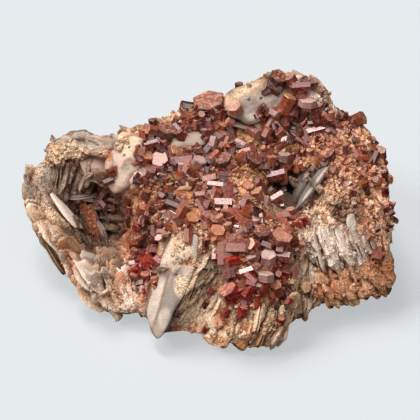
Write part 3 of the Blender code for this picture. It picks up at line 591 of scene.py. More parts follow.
# Vanadinite crystals: column and row of the middle, width over the corners, length, direction of the
# long axis on the sheet, its lean out of the sheet, extra lift out of the matrix, first letter of its look
CRYSTALS = (
    # Summit
    (277, 80, 20, 13, 65, 38, 2, "D"), (293, 82, 13, 13, 120, 19, 1, "P"),
    (296, 92, 9, 18, 115, 28, 3, "M"), (286, 104, 18, 20, 64, 24, 3, "O"),
    (307, 103, 22, 8, 82, 20, 3, "B"), (321, 96, 6, 11, 85, 20, 1, "P"),
    (325, 106, 7, 10, 60, 17, 1, "D"), (332, 115, 8, 8, 100, 26, 1, "R"),
    (357, 120, 17, 17, 24, 32, -1, "O"), (346, 118, 10, 12, 150, 25, 0, "M"),
    (315, 123, 8, 14, 4, 12, 1, "D"), (330, 124, 7, 15, 2, 12, 0, "M"),
    (311, 132, 8, 13, -8, 12, 0, "D"), (349, 134, 8, 8, 120, 32, 0, "M"),
    (355, 143, 10, 11, 72, 30, 0, "D"), (345, 150, 8, 12, 92, 24, 2, "P"),
    (336, 145, 11, 10, 62, 26, 0, "R"), (331, 157, 13, 10, 130, 35, 0, "D"),
    (349, 164, 11, 8, 112, 29, 0, "R"), (380, 154, 14, 11, 96, 40, 0, "P"),
    (373, 164, 10, 11, 140, 16, 0, "M"), (371, 174, 9, 8, 80, 27, 1, "R"),
    (384, 177, 10, 14, 94, 22, 0, "D"), (301, 151, 8, 8, 55, 24, 0, "M"),
    (302, 166, 8, 8, 115, 23, 0, "R"), (318, 140, 9, 10, 75, 16, 0, "M"),
    # Crest left of the summit
    (209, 103, 36, 9, 97, 42, -4, "M"), (190, 107, 13, 18, 172, 16, 1, "D"),
    (235, 108, 18, 8, 116, 42, 1, "R"), (216, 114, 10, 10, 80, 29, 1, "O"),
    (239, 86, 9, 8, 90, 21, 0, "D"), (267, 92, 9, 10, 40, 20, 0, "D"),
    (262, 107, 7, 7, 50, 27, 0, "D"), (262, 117, 9, 8, 130, 28, 0, "M"),
    (274, 119, 11, 10, 70, 21, 0, "O"), (251, 130, 12, 19, -34, 30, 2, "P"),
    (267, 131, 13, 11, 62, 14, 0, "O"), (207, 133, 13, 11, 110, 22, 1, "P"),
    (212, 143, 11, 13, -105, 26, 3, "B"), (222, 126, 14, 10, 58, 40, 0, "O"),
    (241, 144, 10, 13, -30, 30, 2, "B"), (153, 124, 10, 11, 100, 21, 0, "D"),
    (166, 131, 23, 12, 76, 34, 0, "D"), (143, 139, 9, 20, 88, 16, 0, "O"),
    (175, 121, 8, 10, 60, 26, 1, "M"), (188, 120, 9, 9, 20, 30, 0, "O"),
    (180, 136, 12, 11, 118, 21, 0, "M"), (196, 124, 9, 10, 84, 16, 0, "R"),
    # Upper middle
    (224, 163, 22, 13, 102, 30, 0, "D"), (252, 161, 22, 12, 52, 30, 2, "D"),
    (271, 161, 13, 11, 82, 21, 1, "R"), (284, 157, 15, 8, 82, 25, 3, "B"),
    (284, 175, 10, 19, -88, 22, 4, "P"), (264, 171, 6, 8, 60, 18, 1, "B"),
    (283, 144, 9, 11, 40, 20, 1, "M"), (294, 138, 11, 11, 66, 22, 0, "D"),
    (281, 132, 11, 10, 40, 21, 0, "O"), (160, 160, 21, 8, 115, 62, -1, "M"),
    (146, 157, 15, 9, 62, 44, 0, "O"), (175, 152, 16, 9, 40, 44, 0, "O"),
    (164, 145, 10, 11, 100, 24, 1, "M"), (188, 151, 12, 10, 72, 34, 0, "M"),
    (197, 165, 15, 15, 58, 30, 2, "B"), (181, 168, 8, 10, 84, 25, 2, "B"),
    (144, 174, 8, 16, -40, 25, 1, "P"), (134, 179, 9, 12, -32, 24, 0, "D"),
    (134, 190, 7, 8, 60, 32, 2, "R"), (146, 193, 14, 11, 76, 36, 0, "M"),
    (162, 190, 10, 15, 176, 22, 1, "P"), (161, 179, 8, 10, 80, 18, 1, "D"),
    (173, 178, 9, 11, 64, 20, 0, "M"), (231, 146, 9, 10, 100, 26, 0, "M"),
    (191, 186, 8, 15, 78, 24, 2, "P"), (199, 190, 8, 15, 80, 22, 2, "P"),
    (208, 187, 9, 10, 66, 29, 1, "R"), (238, 173, 11, 11, 120, 18, 0, "R"),
    # Left of the middle, down to the crevice
    (157, 219, 7, 10, 70, 22, 3, "B"), (127, 201, 9, 11, 64, 26, 1, "M"),
    (129, 211, 10, 10, 82, 21, 2, "C"), (129, 221, 9, 10, 104, 23, 0, "D"),
    (143, 209, 14, 10, 66, 44, 0, "O"), (139, 227, 15, 10, 66, 42, 0, "C"),
    (148, 236, 11, 11, 116, 22, 0, "D"), (174, 217, 20, 10, 205, 48, 1, "P"),
    (181, 202, 17, 10, 62, 30, 1, "M"), (193, 219, 17, 9, 70, 52, 1, "O"),
    (206, 217, 15, 8, 60, 28, 2, "P"), (139, 240, 6, 9, 80, 30, 3, "B"),
    (150, 248, 7, 8, 60, 24, 1, "B"), (150, 262, 18, 14, 32, 30, 3, "C"),
    (123, 232, 9, 10, 60, 21, 0, "D"), (133, 254, 9, 11, 72, 16, 0, "C"),
    (146, 278, 12, 11, 100, 30, 1, "C"), (162, 205, 10, 11, 96, 24, 1, "M"),
    # Middle
    (223, 189, 12, 11, 88, 21, 0, "O"), (214, 201, 12, 10, 66, 29, 0, "R"),
    (234, 202, 10, 16, -68, 22, 1, "P"), (247, 188, 14, 9, 76, 42, 0, "O"),
    (258, 184, 6, 7, 60, 32, 2, "B"), (255, 212, 13, 13, 158, 30, 1, "D"),
    (217, 232, 17, 9, 74, 52, 1, "O"), (224, 247, 13, 11, 62, 29, 0, "O"),
    (232, 222, 12, 11, 112, 16, 0, "M"), (239, 233, 9, 15, 35, 24, 2, "B"),
    (254, 223, 8, 8, 80, 24, 2, "B"), (261, 234, 20, 10, 78, 46, 2, "D"),
    (248, 246, 17, 9, 102, 52, 1, "O"), (243, 259, 14, 8, 64, 44, 0, "O"),
    (281, 238, 24, 10, 72, 46, 1, "R"), (267, 257, 19, 10, 84, 44, 3, "B"),
    (255, 267, 10, 10, 60, 26, 0, "R"), (286, 260, 14, 9, 66, 42, 0, "R"),
    (298, 246, 12, 11, 62, 27, 0, "R"), (206, 243, 9, 10, 86, 18, 0, "M"),
    # Lower middle
    (264, 276, 20, 9, 86, 18, 2, "B"), (276, 289, 15, 13, 104, 38, 2, "O"),
    (230, 292, 22, 13, 118, 36, 3, "C"), (212, 291, 8, 10, 60, 23, 0, "C"),
    (242, 311, 11, 12, 72, 21, 0, "C"), (226, 311, 8, 10, 60, 20, 1, "C"),
    (281, 306, 8, 12, 68, 28, 0, "C"), (280, 320, 8, 7, 80, 30, 0, "C"),
    (257, 300, 8, 15, 86, 22, 0, "C"), (248, 290, 13, 12, 62, 19, 0, "C"),
    (207, 303, 10, 9, 60, 32, 0, "D"), (206, 328, 8, 8, 60, 30, 0, "M"),
    (284, 275, 13, 12, 74, 20, 1, "C"), (270, 300, 10, 11, 60, 15, 0, "C"),
    # Right of the middle and the right edge
    (296, 225, 8, 11, 178, 24, 1, "C"), (305, 222, 10, 12, 112, 21, 1, "C"),
    (303, 212, 9, 11, 60, 16, 0, "D"), (389, 207, 9, 10, 60, 20, 0, "M"),
    (388, 228, 9, 11, 60, 24, 0, "D"), (374, 214, 7, 10, 70, 19, 1, "B"),
    (363, 153, 9, 10, 64, 25, 0, "M"), (357, 177, 8, 8, 60, 21, 0, "R"),
    (366, 190, 8, 10, 100, 18, 0, "D"), (384, 192, 9, 11, 84, 20, 0, "M"),
)
CRYSTAL_LIFT = 0.12
SPIN_STEP = 37.0


class Texture(Enum):
    """How a patch of the core is roughened."""

    PEBBLY = "pebbly grains"
    RIDGED = "ridges along a direction"
    WAXY = "waxy, with low swells"


PEBBLY, RIDGED, WAXY = Texture

# Patches of the core's front: column, row, half width, half height, turn, texture, direction of the
# ridges, colour, strength. Later patches lie over earlier ones
PATCHES = (
    # Ground under the crystals
    (225, 170, 100, 70, 0, PEBBLY, 0, OCHRE, 0.8),
    (222, 205, 45, 40, 0, PEBBLY, 0, PEACH, 0.7),
    (250, 260, 50, 50, 0, PEBBLY, 0, PEACH, 0.7),
    (180, 200, 45, 30, 0, PEBBLY, 0, ORANGE, 0.5),
    # Upper left
    (64, 152, 27, 20, 10, PEBBLY, 0, CREAM, 0.9),
    (88, 139, 38, 13, -3, WAXY, 0, GREY, 0.9),
    (113, 146, 16, 10, 0, WAXY, 0, ASH, 0.8),
    (68, 182, 30, 20, 5, RIDGED, 80, ASH, 0.95),
    (45, 192, 16, 26, -30, RIDGED, -60, GREY, 0.8),
    (62, 214, 12, 22, 34, RIDGED, -56, UMBER, 0.85),
    (104, 163, 27, 23, 30, WAXY, 0, BLUSH, 0.95),
    (129, 162, 22, 34, -30, WAXY, 0, WHITE, 0.9),
    (126, 150, 13, 14, 0, PEBBLY, 0, CREAM, 0.7),
    (93, 192, 28, 12, 5, WAXY, 0, GREY, 0.9),
    # Hollow and its rim
    (92, 226, 32, 36, -20, RIDGED, -60, SOOT, 0.9),
    (114, 212, 18, 20, 0, RIDGED, 4, OLIVE, 0.9),
    (66, 252, 74, 17, -54, RIDGED, -54, CREAM, 0.9),
    (60, 258, 44, 7, -54, RIDGED, -54, ORANGE, 0.6),
    (40, 225, 26, 7, -64, RIDGED, -60, ORANGE, 0.5),
    (120, 288, 36, 30, -20, RIDGED, -50, WHITE, 0.85),
    (128, 302, 20, 10, -20, PEBBLY, 0, OCHRE, 0.6),
    (97, 262, 18, 12, -40, WAXY, 0, ASH, 0.7),
    (148, 262, 13, 44, 0, PEBBLY, 0, RUST, 0.9),
    # Big lens, its crust and its ribs
    (172, 292, 23, 50, -15, WAXY, 0, GREY, 0.9),
    (200, 285, 30, 44, -30, RIDGED, 62, UMBER, 0.9),
    (182, 243, 30, 22, 45, PEBBLY, 0, CREAM, 0.95),
    (181, 285, 9, 12, 0, PEBBLY, 0, CREAM, 0.8),
    (190, 328, 28, 9, 0, PEBBLY, 0, RUST, 0.6),
    # Lower middle
    (216, 325, 20, 28, 0, WAXY, 0, CREAM, 0.8),
    (228, 316, 10, 18, 0, PEBBLY, 0, PEACH, 0.5),
    (245, 330, 18, 18, 0, PEBBLY, 0, UMBER, 0.8),
    (275, 326, 18, 28, 0, RIDGED, 66, TAN, 0.8),
    (280, 338, 14, 10, 30, WAXY, 0, BLUSH, 0.6),
    # Summit
    (258, 98, 37, 26, 20, WAXY, 0, GREY, 0.9),
    (322, 100, 36, 16, -45, PEBBLY, 0, CREAM, 0.9),
    (300, 124, 14, 14, 0, WAXY, 0, ASH, 0.9),
    (190, 139, 20, 9, 5, WAXY, 0, TAN, 0.8),
    (172, 115, 16, 9, 20, PEBBLY, 0, CREAM, 0.9),
    (243, 123, 22, 7, -20, WAXY, 0, GREY, 0.7),
    # Right side
    (345, 178, 54, 50, -20, PEBBLY, 0, PEACH, 0.8),
    (290, 192, 20, 22, 0, WAXY, 0, UMBER, 0.9),
    (320, 215, 26, 22, 0, PEBBLY, 0, CREAM, 0.8),
    (347, 212, 18, 15, 0, PEBBLY, 0, UMBER, 0.7),
    (338, 246, 42, 22, -20, RIDGED, -62, WHITE, 0.85),
    (350, 285, 58, 22, 10, PEBBLY, 0, OCHRE, 0.95),
    (384, 272, 18, 22, 0, PEBBLY, 0, OCHRE, 0.7),
    (303, 285, 18, 34, 0, RIDGED, 86, CREAM, 0.8),
    (380, 218, 14, 34, 0, PEBBLY, 0, CREAM, 0.8),
    (272, 202, 24, 12, -28, RIDGED, -28, CREAM, 0.8),
)

# Colours laid over whatever shows at the front: column, row, half width, half height, turn, colour,
# strength, grit
MARKS = (
    # Outer plates: white slabs with orange seams
    (36, 222, 6, 34, 24, CREAM, 0.7, 0.4), (50, 236, 5, 30, 30, WHITE, 0.8, 0.2),
    (88, 278, 12, 28, 38, WHITE, 0.8, 0.2), (67, 256, 4, 20, 32, ORANGE, 0.7, 1.0),
    (44, 224, 3, 26, 26, OCHRE, 0.7, 1.0), (27, 196, 6, 18, 10, WHITE, 0.6, 0.5),
    (100, 300, 22, 8, -24, CREAM, 0.6, 0.5), (76, 284, 3, 24, 36, OCHRE, 0.6, 1.0),
    (66, 230, 4, 16, 36, UMBER, 0.7, 1.0), (110, 252, 14, 7, 0, UMBER, 0.6, 1.0),
    # This cream band is partly the outer plate's own colour and partly painted light on faces turned away
    # from the key light.
    (41, 238, 5, 44, 25, CREAM, 0.7, 0.4),
    # Upper left lobe: smooth grey crown, peach crust under it, brown ribs
    (88, 138, 34, 11, -2, GREY, 0.95, 0.3), (64, 153, 20, 12, 10, CREAM, 0.75, 1.0),
    (54, 152, 9, 10, 0, SAND, 0.5, 1.0),
    (112, 142, 14, 7, -14, ASH, 0.8, 0.3), (62, 180, 18, 16, 0, ASH, 0.5, 1.0),
    (90, 178, 10, 14, 0, UMBER, 0.5, 1.0), (36, 180, 9, 18, -16, GREY, 0.5, 1.0),
    (127, 143, 12, 12, 0, CREAM, 0.7, 0.5), (109, 157, 3, 6, -10, ORANGE, 0.8, 1.0),
    (112, 296, 10, 5, -30, OCHRE, 0.5, 1.0), (136, 280, 4, 15, 8, UMBER, 0.5, 1.0),
    # Big lens: cream rim, grey middle, speckled crown
    (176, 250, 22, 15, 60, CREAM, 0.75, 1.0), (158, 290, 6, 46, -16, WHITE, 0.5, 0.2),
    (174, 290, 12, 40, -16, GREY, 0.7, 0.1), (172, 296, 8, 30, -16, SLATE, 0.55, 0.1),
    (163, 296, 1.5, 34, -16, UMBER, 0.6, 0.2), (181, 285, 7, 11, 0, CREAM, 0.9, 1.0),
    (191, 262, 6, 5, 0, ORANGE, 0.7, 1.0), (166, 318, 7, 10, 0, WHITE, 0.4, 0.1),
    (206, 276, 20, 36, -28, CREAM, 0.45, 1.0), (194, 308, 10, 22, -28, CREAM, 0.4, 1.0),
    # Lower middle
    (207, 320, 5, 24, 0, CREAM, 0.8, 0.5), (222, 318, 8, 12, 0, ORANGE, 0.6, 1.0),
    (255, 318, 6, 18, -10, CREAM, 0.85, 0.6), (281, 338, 11, 9, 30, WHITE, 0.7, 0.2),
    (270, 322, 6, 22, -20, OLIVE, 0.4, 1.0), (262, 332, 20, 12, 0, PEACH, 0.4, 1.0),
    (215, 340, 14, 6, 0, OCHRE, 0.6, 1.0),
    # Summit nodule and shoulder
    (250, 89, 24, 10, 30, SAND, 0.6, 1.0), (246, 92, 14, 7, 30, CREAM, 0.5, 0.8),
    (258, 102, 22, 14, 20, SLATE, 0.55, 0.3), (261, 98, 1.6, 1.4, 0, SOOT, 1.0, 0.5),
    (249, 99, 1.4, 1.6, 0, SOOT, 1.0, 0.5), (262, 91, 1.3, 1.3, 0, SOOT, 0.9, 0.5),
    (129, 147, 1.7, 1.4, 0, SOOT, 1.0, 0.5), (124, 155, 1.5, 1.3, 0, SOOT, 0.9, 0.5),
    (322, 94, 34, 11, -44, WHITE, 0.85, 0.5), (330, 96, 30, 3, -44, PEACH, 0.7, 1.0),
    (292, 120, 12, 10, 0, ASH, 0.6, 0.6),
    # Cleft and the wing over it
    (286, 198, 12, 14, 0, SOOT, 0.7, 0.2), (268, 208, 18, 9, -30, CREAM, 0.5, 1.0),
    # Right: sugary dome, brown pocket, white streaks over ochre lumps
    (335, 190, 26, 16, -20, CREAM, 0.5, 1.0), (342, 208, 18, 10, -30, UMBER, 0.65, 1.0),
    (349, 222, 4, 8, -20, WHITE, 0.9, 0.2), (312, 225, 14, 16, 0, CREAM, 0.7, 1.0),
    (330, 248, 28, 20, -24, WHITE, 0.7, 0.5), (360, 248, 14, 22, -30, GREY, 0.6, 0.5),
    (350, 282, 52, 18, 10, PEACH, 0.35, 0.7), (322, 290, 18, 10, 0, ORANGE, 0.4, 1.0),
    (376, 266, 14, 12, 0, ORANGE, 0.4, 1.0), (300, 285, 12, 28, 0, CREAM, 0.4, 0.8),
    (382, 220, 9, 36, 0, PEACH, 0.7, 0.9), (345, 165, 40, 36, -20, PEACH, 0.4, 1.0),
    # The thin white line along the wing's right edge is a painted highlight; the slate mark is the wing's own
    # colour.
    (308, 186, 10, 36, -36, SLATE, 0.95, 0.1), (313, 186, 1.5, 22, -36, WHITE, 0.5, 0.1),
)

# Smooth forms that carry no stray blades: the big lens, the wing, the two nodules
BARE_FIELDS = (
    (172, 281, 27, 60, -16), (306, 188, 18, 38, -36), (258, 98, 37, 26, 20), (122, 160, 28, 34, -30),
)
STRAY_STONES = (CREAM, CREAM, WHITE, GREY, SAND, TAN)

# Ellipses in which the small crystals are paler, or smaller
PALE_FIELDS = ((245, 228, 52, 42, 0), (350, 170, 48, 46, -20))
TINY_FIELD = (355, 180, 56, 66, -10)
PALE_LOOKS = (Gem.ROSE, Gem.ROSE, Gem.ORANGE, Gem.PURPLE, Gem.MAROON)
LOOKS = (Gem.DEEP,) * 6 + (Gem.MAROON,) * 6 + (Gem.PURPLE,) * 3 + (Gem.ROSE,) * 3 + (Gem.ORANGE,) * 3
BEAD_FACES = ((0, 1, 2), (1, 3, 2), (3, 4, 2), (4, 0, 2), (1, 0, 5), (3, 1, 5), (4, 3, 5), (0, 4, 5))

# Where loose grains and small crystals crowd: column, row, half width, half height, turn, share of places
# that take one
GRAIN_FIELDS = (
    (64, 152, 24, 16, 10, 0.8), (182, 242, 27, 19, 45, 0.6), (345, 172, 52, 46, -20, 1.0),
    (340, 248, 42, 22, -20, 0.6),
    (318, 214, 26, 22, 0, 0.7), (322, 100, 34, 14, -45, 0.8), (220, 185, 80, 52, 0, 0.8),
    (172, 116, 16, 10, 20, 0.9), (300, 150, 34, 26, 0, 0.9), (122, 290, 32, 24, 0, 0.25),
    (265, 250, 36, 46, 0, 0.6), (126, 150, 12, 13, 0, 0.35), (183, 285, 9, 12, 0, 0.5),
    (378, 215, 14, 40, 0, 0.7), (150, 250, 14, 48, 0, 0.4), (350, 280, 54, 22, 10, 0.2),
    (250, 322, 34, 24, 0, 0.3),
)
CHERRY_ROW = 258  # small crystals below this row are redder
CRYSTAL_FIELDS = (
    (154, 187, 21, 60, 8, 0.9), (200, 145, 66, 36, 12, 0.75), (262, 140, 50, 34, 0, 0.7),
    (225, 200, 62, 44, 0, 0.34), (255, 245, 46, 36, -20, 0.45), (252, 294, 42, 20, 0, 0.6),
    (345, 145, 48, 34, -30, 0.4), (380, 205, 14, 50, 0, 0.35), (335, 190, 34, 24, 0, 0.14),
    (292, 96, 20, 22, 0, 0.3), (145, 262, 16, 30, 0, 0.7),
    (250, 304, 34, 10, 0, 0.5), (303, 220, 12, 14, 0, 0.6), (110, 190, 14, 26, 0, 0.12),
)


@dataclass(frozen=True)
class Shards:
    """A field of small blades.

    Attributes:
        place: column, row, half width, half height and turn of the field.
        count: how many blades.
        trace: direction of their long edges on the sheet.
        lean: 0 when they are seen edge on, 90 when their faces lie along the sheet.
        size: half length, half depth and thickness, in columns.
        pale: colour of their edges.
        stain: colour of the stained ones.
    """

    place: tuple[float, float, float, float, float]
    count: int
    trace: float
    lean: float
    size: tuple[float, float, float]
    pale: Stone
    stain: Stone


SHARD_FIELDS = (
    Shards((66, 250, 46, 8, -54), 9, -54, 40, (26, 13, 4.0), WHITE, CREAM),
    Shards((92, 284, 20, 8, -50), 5, -50, 46, (20, 13, 4.0), WHITE, CREAM),
    Shards((108, 304, 30, 8, -36), 10, -44, 36, (20, 10, 4.0), WHITE, OCHRE),
    Shards((42, 196, 10, 22, -20), 14, -66, 18, (11, 7, 5.0), GREY, TAN),
    Shards((66, 177, 27, 20, 5), 40, 82, 24, (11, 8, 5.4), GREY, UMBER),
    Shards((66, 174, 24, 11, 5), 14, 84, 18, (17, 13, 6.0), GREY, ASH),
    Shards((94, 228, 24, 30, -20), 26, 100, 30, (12, 7, 3.4), UMBER, SOOT),
    Shards((113, 212, 15, 18, 0), 20, 2, 28, (12, 6, 3.4), UMBER, OLIVE),
    Shards((120, 286, 32, 20, -20), 40, -60, 40, (9, 7, 5.0), WHITE, ORANGE),
    Shards((112, 262, 20, 12, -30), 16, -50, 34, (9, 7, 3.4), SAND, UMBER),
    Shards((150, 248, 9, 50, 4), 34, 80, 44, (8, 6, 3.4), RUST, SOOT),
    Shards((205, 284, 19, 42, -28), 64, 60, 20, (15, 11, 4.4), CREAM, OLIVE),
    Shards((232, 320, 18, 16, 0), 20, 80, 34, (10, 7, 4.4), CREAM, PEACH),
    Shards((270, 320, 16, 22, 0), 24, 68, 26, (13, 8, 4.6), CREAM, UMBER),
    Shards((268, 204, 24, 13, -28), 26, -28, 30, (12, 6, 2.6), CREAM, TAN),
    Shards((287, 192, 12, 15, 0), 14, -42, 42, (11, 7, 4.6), ASH, UMBER),
    Shards((338, 246, 42, 20, -20), 60, -66, 34, (13, 8, 5.0), WHITE, TAN),
    Shards((350, 284, 50, 14, 10), 60, -72, 60, (9, 6, 6.0), SAND, ORANGE),
    Shards((303, 278, 15, 34, 0), 34, 86, 26, (13, 8, 4.2), WHITE, OCHRE),
    Shards((381, 232, 8, 44, 0), 20, -80, 44, (8, 6, 4.2), CREAM, OCHRE),
    Shards((320, 128, 36, 12, -30), 20, -40, 50, (8, 6, 3.0), CREAM, TAN),
)


def ellipse(columns: np.ndarray, rows: np.ndarray, patch: tuple) -> np.ndarray:
    """Squared distance from a patch's middle, 1 on its outline.

    Args:
        columns: columns of the places.
        rows: rows of the places.
        patch: column, row, half width, half height and turn of an ellipse.
    """
    along, beside = turned(columns - patch[0], patch[1] - rows, math.radians(patch[4]))
    return (along / patch[2]) ** 2 + (beside / patch[3]) ** 2


def tube_faces(count: int, rings: int, around: int) -> list[np.ndarray]:
    """Quads round count stacks of rings of points, and a many-sided face on both ends of each."""
    index = np.arange(count * rings * around).reshape(count, rings, around)
    after = np.roll(index, -1, axis=2)
    quads = np.stack([index[:, :-1], index[:, 1:], after[:, 1:], after[:, :-1]], axis=-1)
    caps = np.stack([index[:, 0], index[:, -1, ::-1]], axis=1)
    return [quads.reshape(-1, 4), caps.reshape(-1, around)]


def blend(base: np.ndarray, top: np.ndarray, share: np.ndarray) -> np.ndarray:
    """Colours mixed from base to top by a share for each row."""
    return base + (top - base) * np.asarray(share)[..., None]


@dataclass
class Surface:
    """Points, faces and colours gathered for one mesh.

    Attributes:
        points: one array of points for each batch.
        faces: one array of corner numbers for each batch, three or four to a face.
        tints: one array of colours for each batch, one for each point or one for each face.
        grits: how grainy the skin is, in step with the tints.
        ends: for crystals, 1 on end faces and 0 on the others, one for each face.
    """

    points: list
    faces: list
    tints: list
    grits: list
    ends: list

    @classmethod
    def empty(cls) -> Surface:
        """A surface with nothing on it."""
        return cls([], [], [], [], [])

    @property
    def count(self) -> int:
        """How many points it has."""
        return sum(len(batch) for batch in self.points)

    def add(self, points: np.ndarray, faces: list[np.ndarray], tints: np.ndarray,
            ends: np.ndarray | None = None, grit: np.ndarray | float = 1.0) -> None:
        """Add points, and arrays of faces that count them from 0, with colours and marks in order."""
        self.faces += [batch + self.count for batch in faces]
        self.points.append(points)
        self.tints.append(tints)
        self.grits.append(np.broadcast_to(grit, len(tints)))
        if ends is not None:
            self.ends.append(ends)

    def make(self, name: str, by_face: bool, rounded: bool) -> bpy.types.Object:
        """Put the gathered batches into one mesh object.

        Args:
            name: the object's name.
            by_face: whether tints are given for faces, and not for points.
            rounded: whether the faces are shaded as one smooth skin.

        Returns:
            The new object, at the origin.
        """
        points = np.concatenate(self.points)
        corners = np.concatenate([batch.ravel() for batch in self.faces])
        sizes = np.concatenate([np.full(len(batch), batch.shape[1]) for batch in self.faces])
        mesh = bpy.data.meshes.new(name)
        mesh.vertices.add(len(points))
        mesh.vertices.foreach_set("co", points.astype(np.float32).ravel())
        mesh.loops.add(len(corners))
        mesh.loops.foreach_set("vertex_index", corners.astype(np.int32))
        mesh.polygons.add(len(sizes))
        starts = np.concatenate([[0], np.cumsum(sizes)[:-1]])
        mesh.polygons.foreach_set("loop_start", starts.astype(np.int32))
        mesh.update(calc_edges=True)
        mesh.polygons.foreach_set("use_smooth", np.full(len(sizes), rounded))
        tints = np.concatenate(self.tints)
        colours = np.column_stack([tints, np.concatenate(self.grits)]).astype(np.float32)
        if by_face:
            colours = np.repeat(colours, sizes, axis=0)
        layer = mesh.attributes.new("tint", "FLOAT_COLOR", "CORNER" if by_face else "POINT")
        layer.data.foreach_set("color", colours.ravel())
        if self.ends:
            layer = mesh.attributes.new("end", "FLOAT", "FACE")
            layer.data.foreach_set("value", np.concatenate(self.ends).astype(np.float32))
        return link(name, mesh)


def grid_faces(index: np.ndarray, wrap: bool = False) -> np.ndarray:
    """Quads between neighbours on a grid of point numbers, closed round its second axis if wrap."""
    after = np.roll(index, -1, axis=1) if wrap else index[:, 1:]
    before = index if wrap else index[:, :-1]
    return np.stack([before[:-1], after[:-1], after[1:], before[1:]], axis=-1).reshape(-1, 4)


def point_normals(points: np.ndarray, quads: np.ndarray) -> np.ndarray:
    """Outward unit normals of points, as the mean of the crossed diagonals of their quads."""
    cross = np.cross(points[quads[:, 2]] - points[quads[:, 0]], points[quads[:, 3]] - points[quads[:, 1]])
    total = np.zeros_like(points)
    for corner in range(4):
        np.add.at(total, quads[:, corner], cross)
    return unit(total)


@dataclass
class Matrix:
    """The core's fine skin with its patches, ridges, grains, stain, and painted shade in its hollows."""

    detail: int = 216
    swell: float = 0.6 * MM
    pebble: float = 0.55 * MM
    ridge: float = 0.9 * MM
    billow: float = 1.1 * MM
    speck: float = 0.07 * MM
    seat: float = 0.25 * MM
    noise: Lattice = Lattice(3)

    def skin(self, core: Core) -> tuple[np.ndarray, np.ndarray, np.ndarray]:
        """Points and quads of the closed skin, and which points lie on the front.

        The front and the rear are each a square grid squeezed onto a disk, x = u sqrt(1 - v^2 / 2) and
        y = v sqrt(1 - u^2 / 2), and share the points on its rim.
        """
        span = np.linspace(-1, 1, self.detail)
        u, v = np.meshgrid(span, span)
        east, north = u * np.sqrt(1 - v * v / 2), v * np.sqrt(1 - u * u / 2)
        outward = np.sqrt(np.clip(1 - east**2 - north**2, 0, 1))
        rim = np.zeros(u.shape, bool)
        rim[[0, -1]] = rim[:, [0, -1]] = True
        outward[rim] = 0
        front = np.arange(u.size).reshape(u.shape)
        rear = front.copy()
        rear[~rim] = u.size + np.arange((~rim).sum())
        points = np.concatenate([
            core.points(east.ravel(), north.ravel(), outward.ravel()),
            core.points(east[~rim], north[~rim], -outward[~rim]),
        ])
        quads = np.concatenate([grid_faces(front), grid_faces(rear)[:, ::-1]])
        return points, quads, np.arange(len(points)) < u.size

    def ground(self, points: np.ndarray, front: np.ndarray) -> tuple[np.ndarray, np.ndarray, np.ndarray]:
        """How far each point is raised, and its colour.

        Args:
            points: points of the bare skin.
            front: which of them lie on the front.

        Returns:
            Heights in metres, linear colours, and grit.
        """
        columns, rows, _ = SHEET.read(points)
        swell = self.noise.layers(points, 6 * MM, 3)
        wobble = self.noise.layers(points + 0.3, 4 * MM, 2)
        pebbles = 1 - self.noise.pebbles(points, 1.15 * MM)
        small = self.noise.value(points, 0.55 * MM)
        plain = blend(SAND.rgb, PEACH.rgb, smooth(-0.5, 0.5, wobble))
        plain = blend(plain, CREAM.rgb, smooth(0.1, 0.7, swell) * 0.7)
        greyed = smooth(-0.2, 0.4, self.noise.layers(points + 0.7, 12 * MM, 2))
        rusted = smooth(0.1, 0.5, self.noise.layers(points + 0.5, 9 * MM, 2))
        back = blend(blend(CREAM.rgb[None], GREY.rgb, greyed * 0.8), OCHRE.rgb, rusted * 0.75)
        tint = np.where(front[:, None], plain, back)
        crust, rib = np.full(len(points), 0.75), np.zeros(len(points))
        ridges, grit = self.ridges(points, 100.0), np.where(front, 1.0, 0.5)
        rib[~front], crust[~front] = 0.9, 0.3
        for *place, texture, direction, stone, strength in PATCHES:
            reach = ellipse(columns, rows, place) + 0.35 * wobble
            share = smooth(1.15, 0.75, reach) * strength * front
            tone = stone.rgb * (1 + 0.16 * wobble + 0.1 * small)[:, None]
            tint = blend(tint, tone, share)
            crust += (float(texture is PEBBLY) - crust) * share
            rib += (float(texture is RIDGED) - rib) * share
            grit += ((0.2 if texture is WAXY else 1.0) - grit) * share
            if texture is RIDGED:
                own = share > 0.02
                ridges[own] += (self.ridges(points[own], direction) - ridges[own]) * share[own]
        billow = 2 * np.abs(self.noise.layers(points + 0.6, 6.5 * MM, 3)) - 0.5
        height = self.swell * swell + self.billow * (billow * (0.4 + 0.6 * crust))
        height = height + crust * self.pebble * (pebbles - 0.45) + rib * self.ridge * ridges
        height += self.speck * small
        for column, row, width, *_ in CRYSTALS:
            under = smooth(0.75 * width, 0.4 * width, np.hypot(columns - column, rows - row)) * front
            height += (self.seat - height) * under
        # Partly iron stain and partly painted shade: the low places of the relief are darkened towards
        # orange, and its crests are painted lighter.
        level = crust * (pebbles - 0.5) * 1.4 + rib * ridges + 0.25 * swell + 0.5 * billow
        hollow = smooth(0.15, -0.45, level)
        tint = blend(tint, tint * ORANGE.rgb / CREAM.rgb * 0.8, hollow * 0.75)
        tint = blend(tint, tint * 1.18, smooth(0.2, 0.6, crust * (pebbles - 0.5) + rib * ridges) * 0.5)
        return height, tint, grit

    def ridges(self, points: np.ndarray, direction: float) -> np.ndarray:
        """Ridged noise drawn out along a direction on the sheet: 1 - 2|n|, with narrow crests."""
        along, beside = turned(SHEET.across, SHEET.rise, math.radians(direction))
        drawn = np.stack([points @ along / 9, points @ beside / 1.5, points @ SHEET.out / 5], axis=-1)
        return 1 - 2 * np.abs(self.noise.layers(drawn, 1.0 * MM, 2)) - 0.4

    def build(self, core: Core) -> bpy.types.Object:
        """The finished skin as one object, flat on its foot."""
        points, quads, front = self.skin(core)
        normals = point_normals(points, quads)
        height, tint, grit = self.ground(points, front)
        points = points + normals * (height * smooth(0.2 * MM, 2 * MM, points[:, 2]))[:, None]
        points[:, 2] = np.maximum(points[:, 2], 0.0)
        surface = Surface.empty()
        surface.add(points, [quads], tint, grit=grit)
        return surface.make("matrix_core", by_face=False, rounded=True)


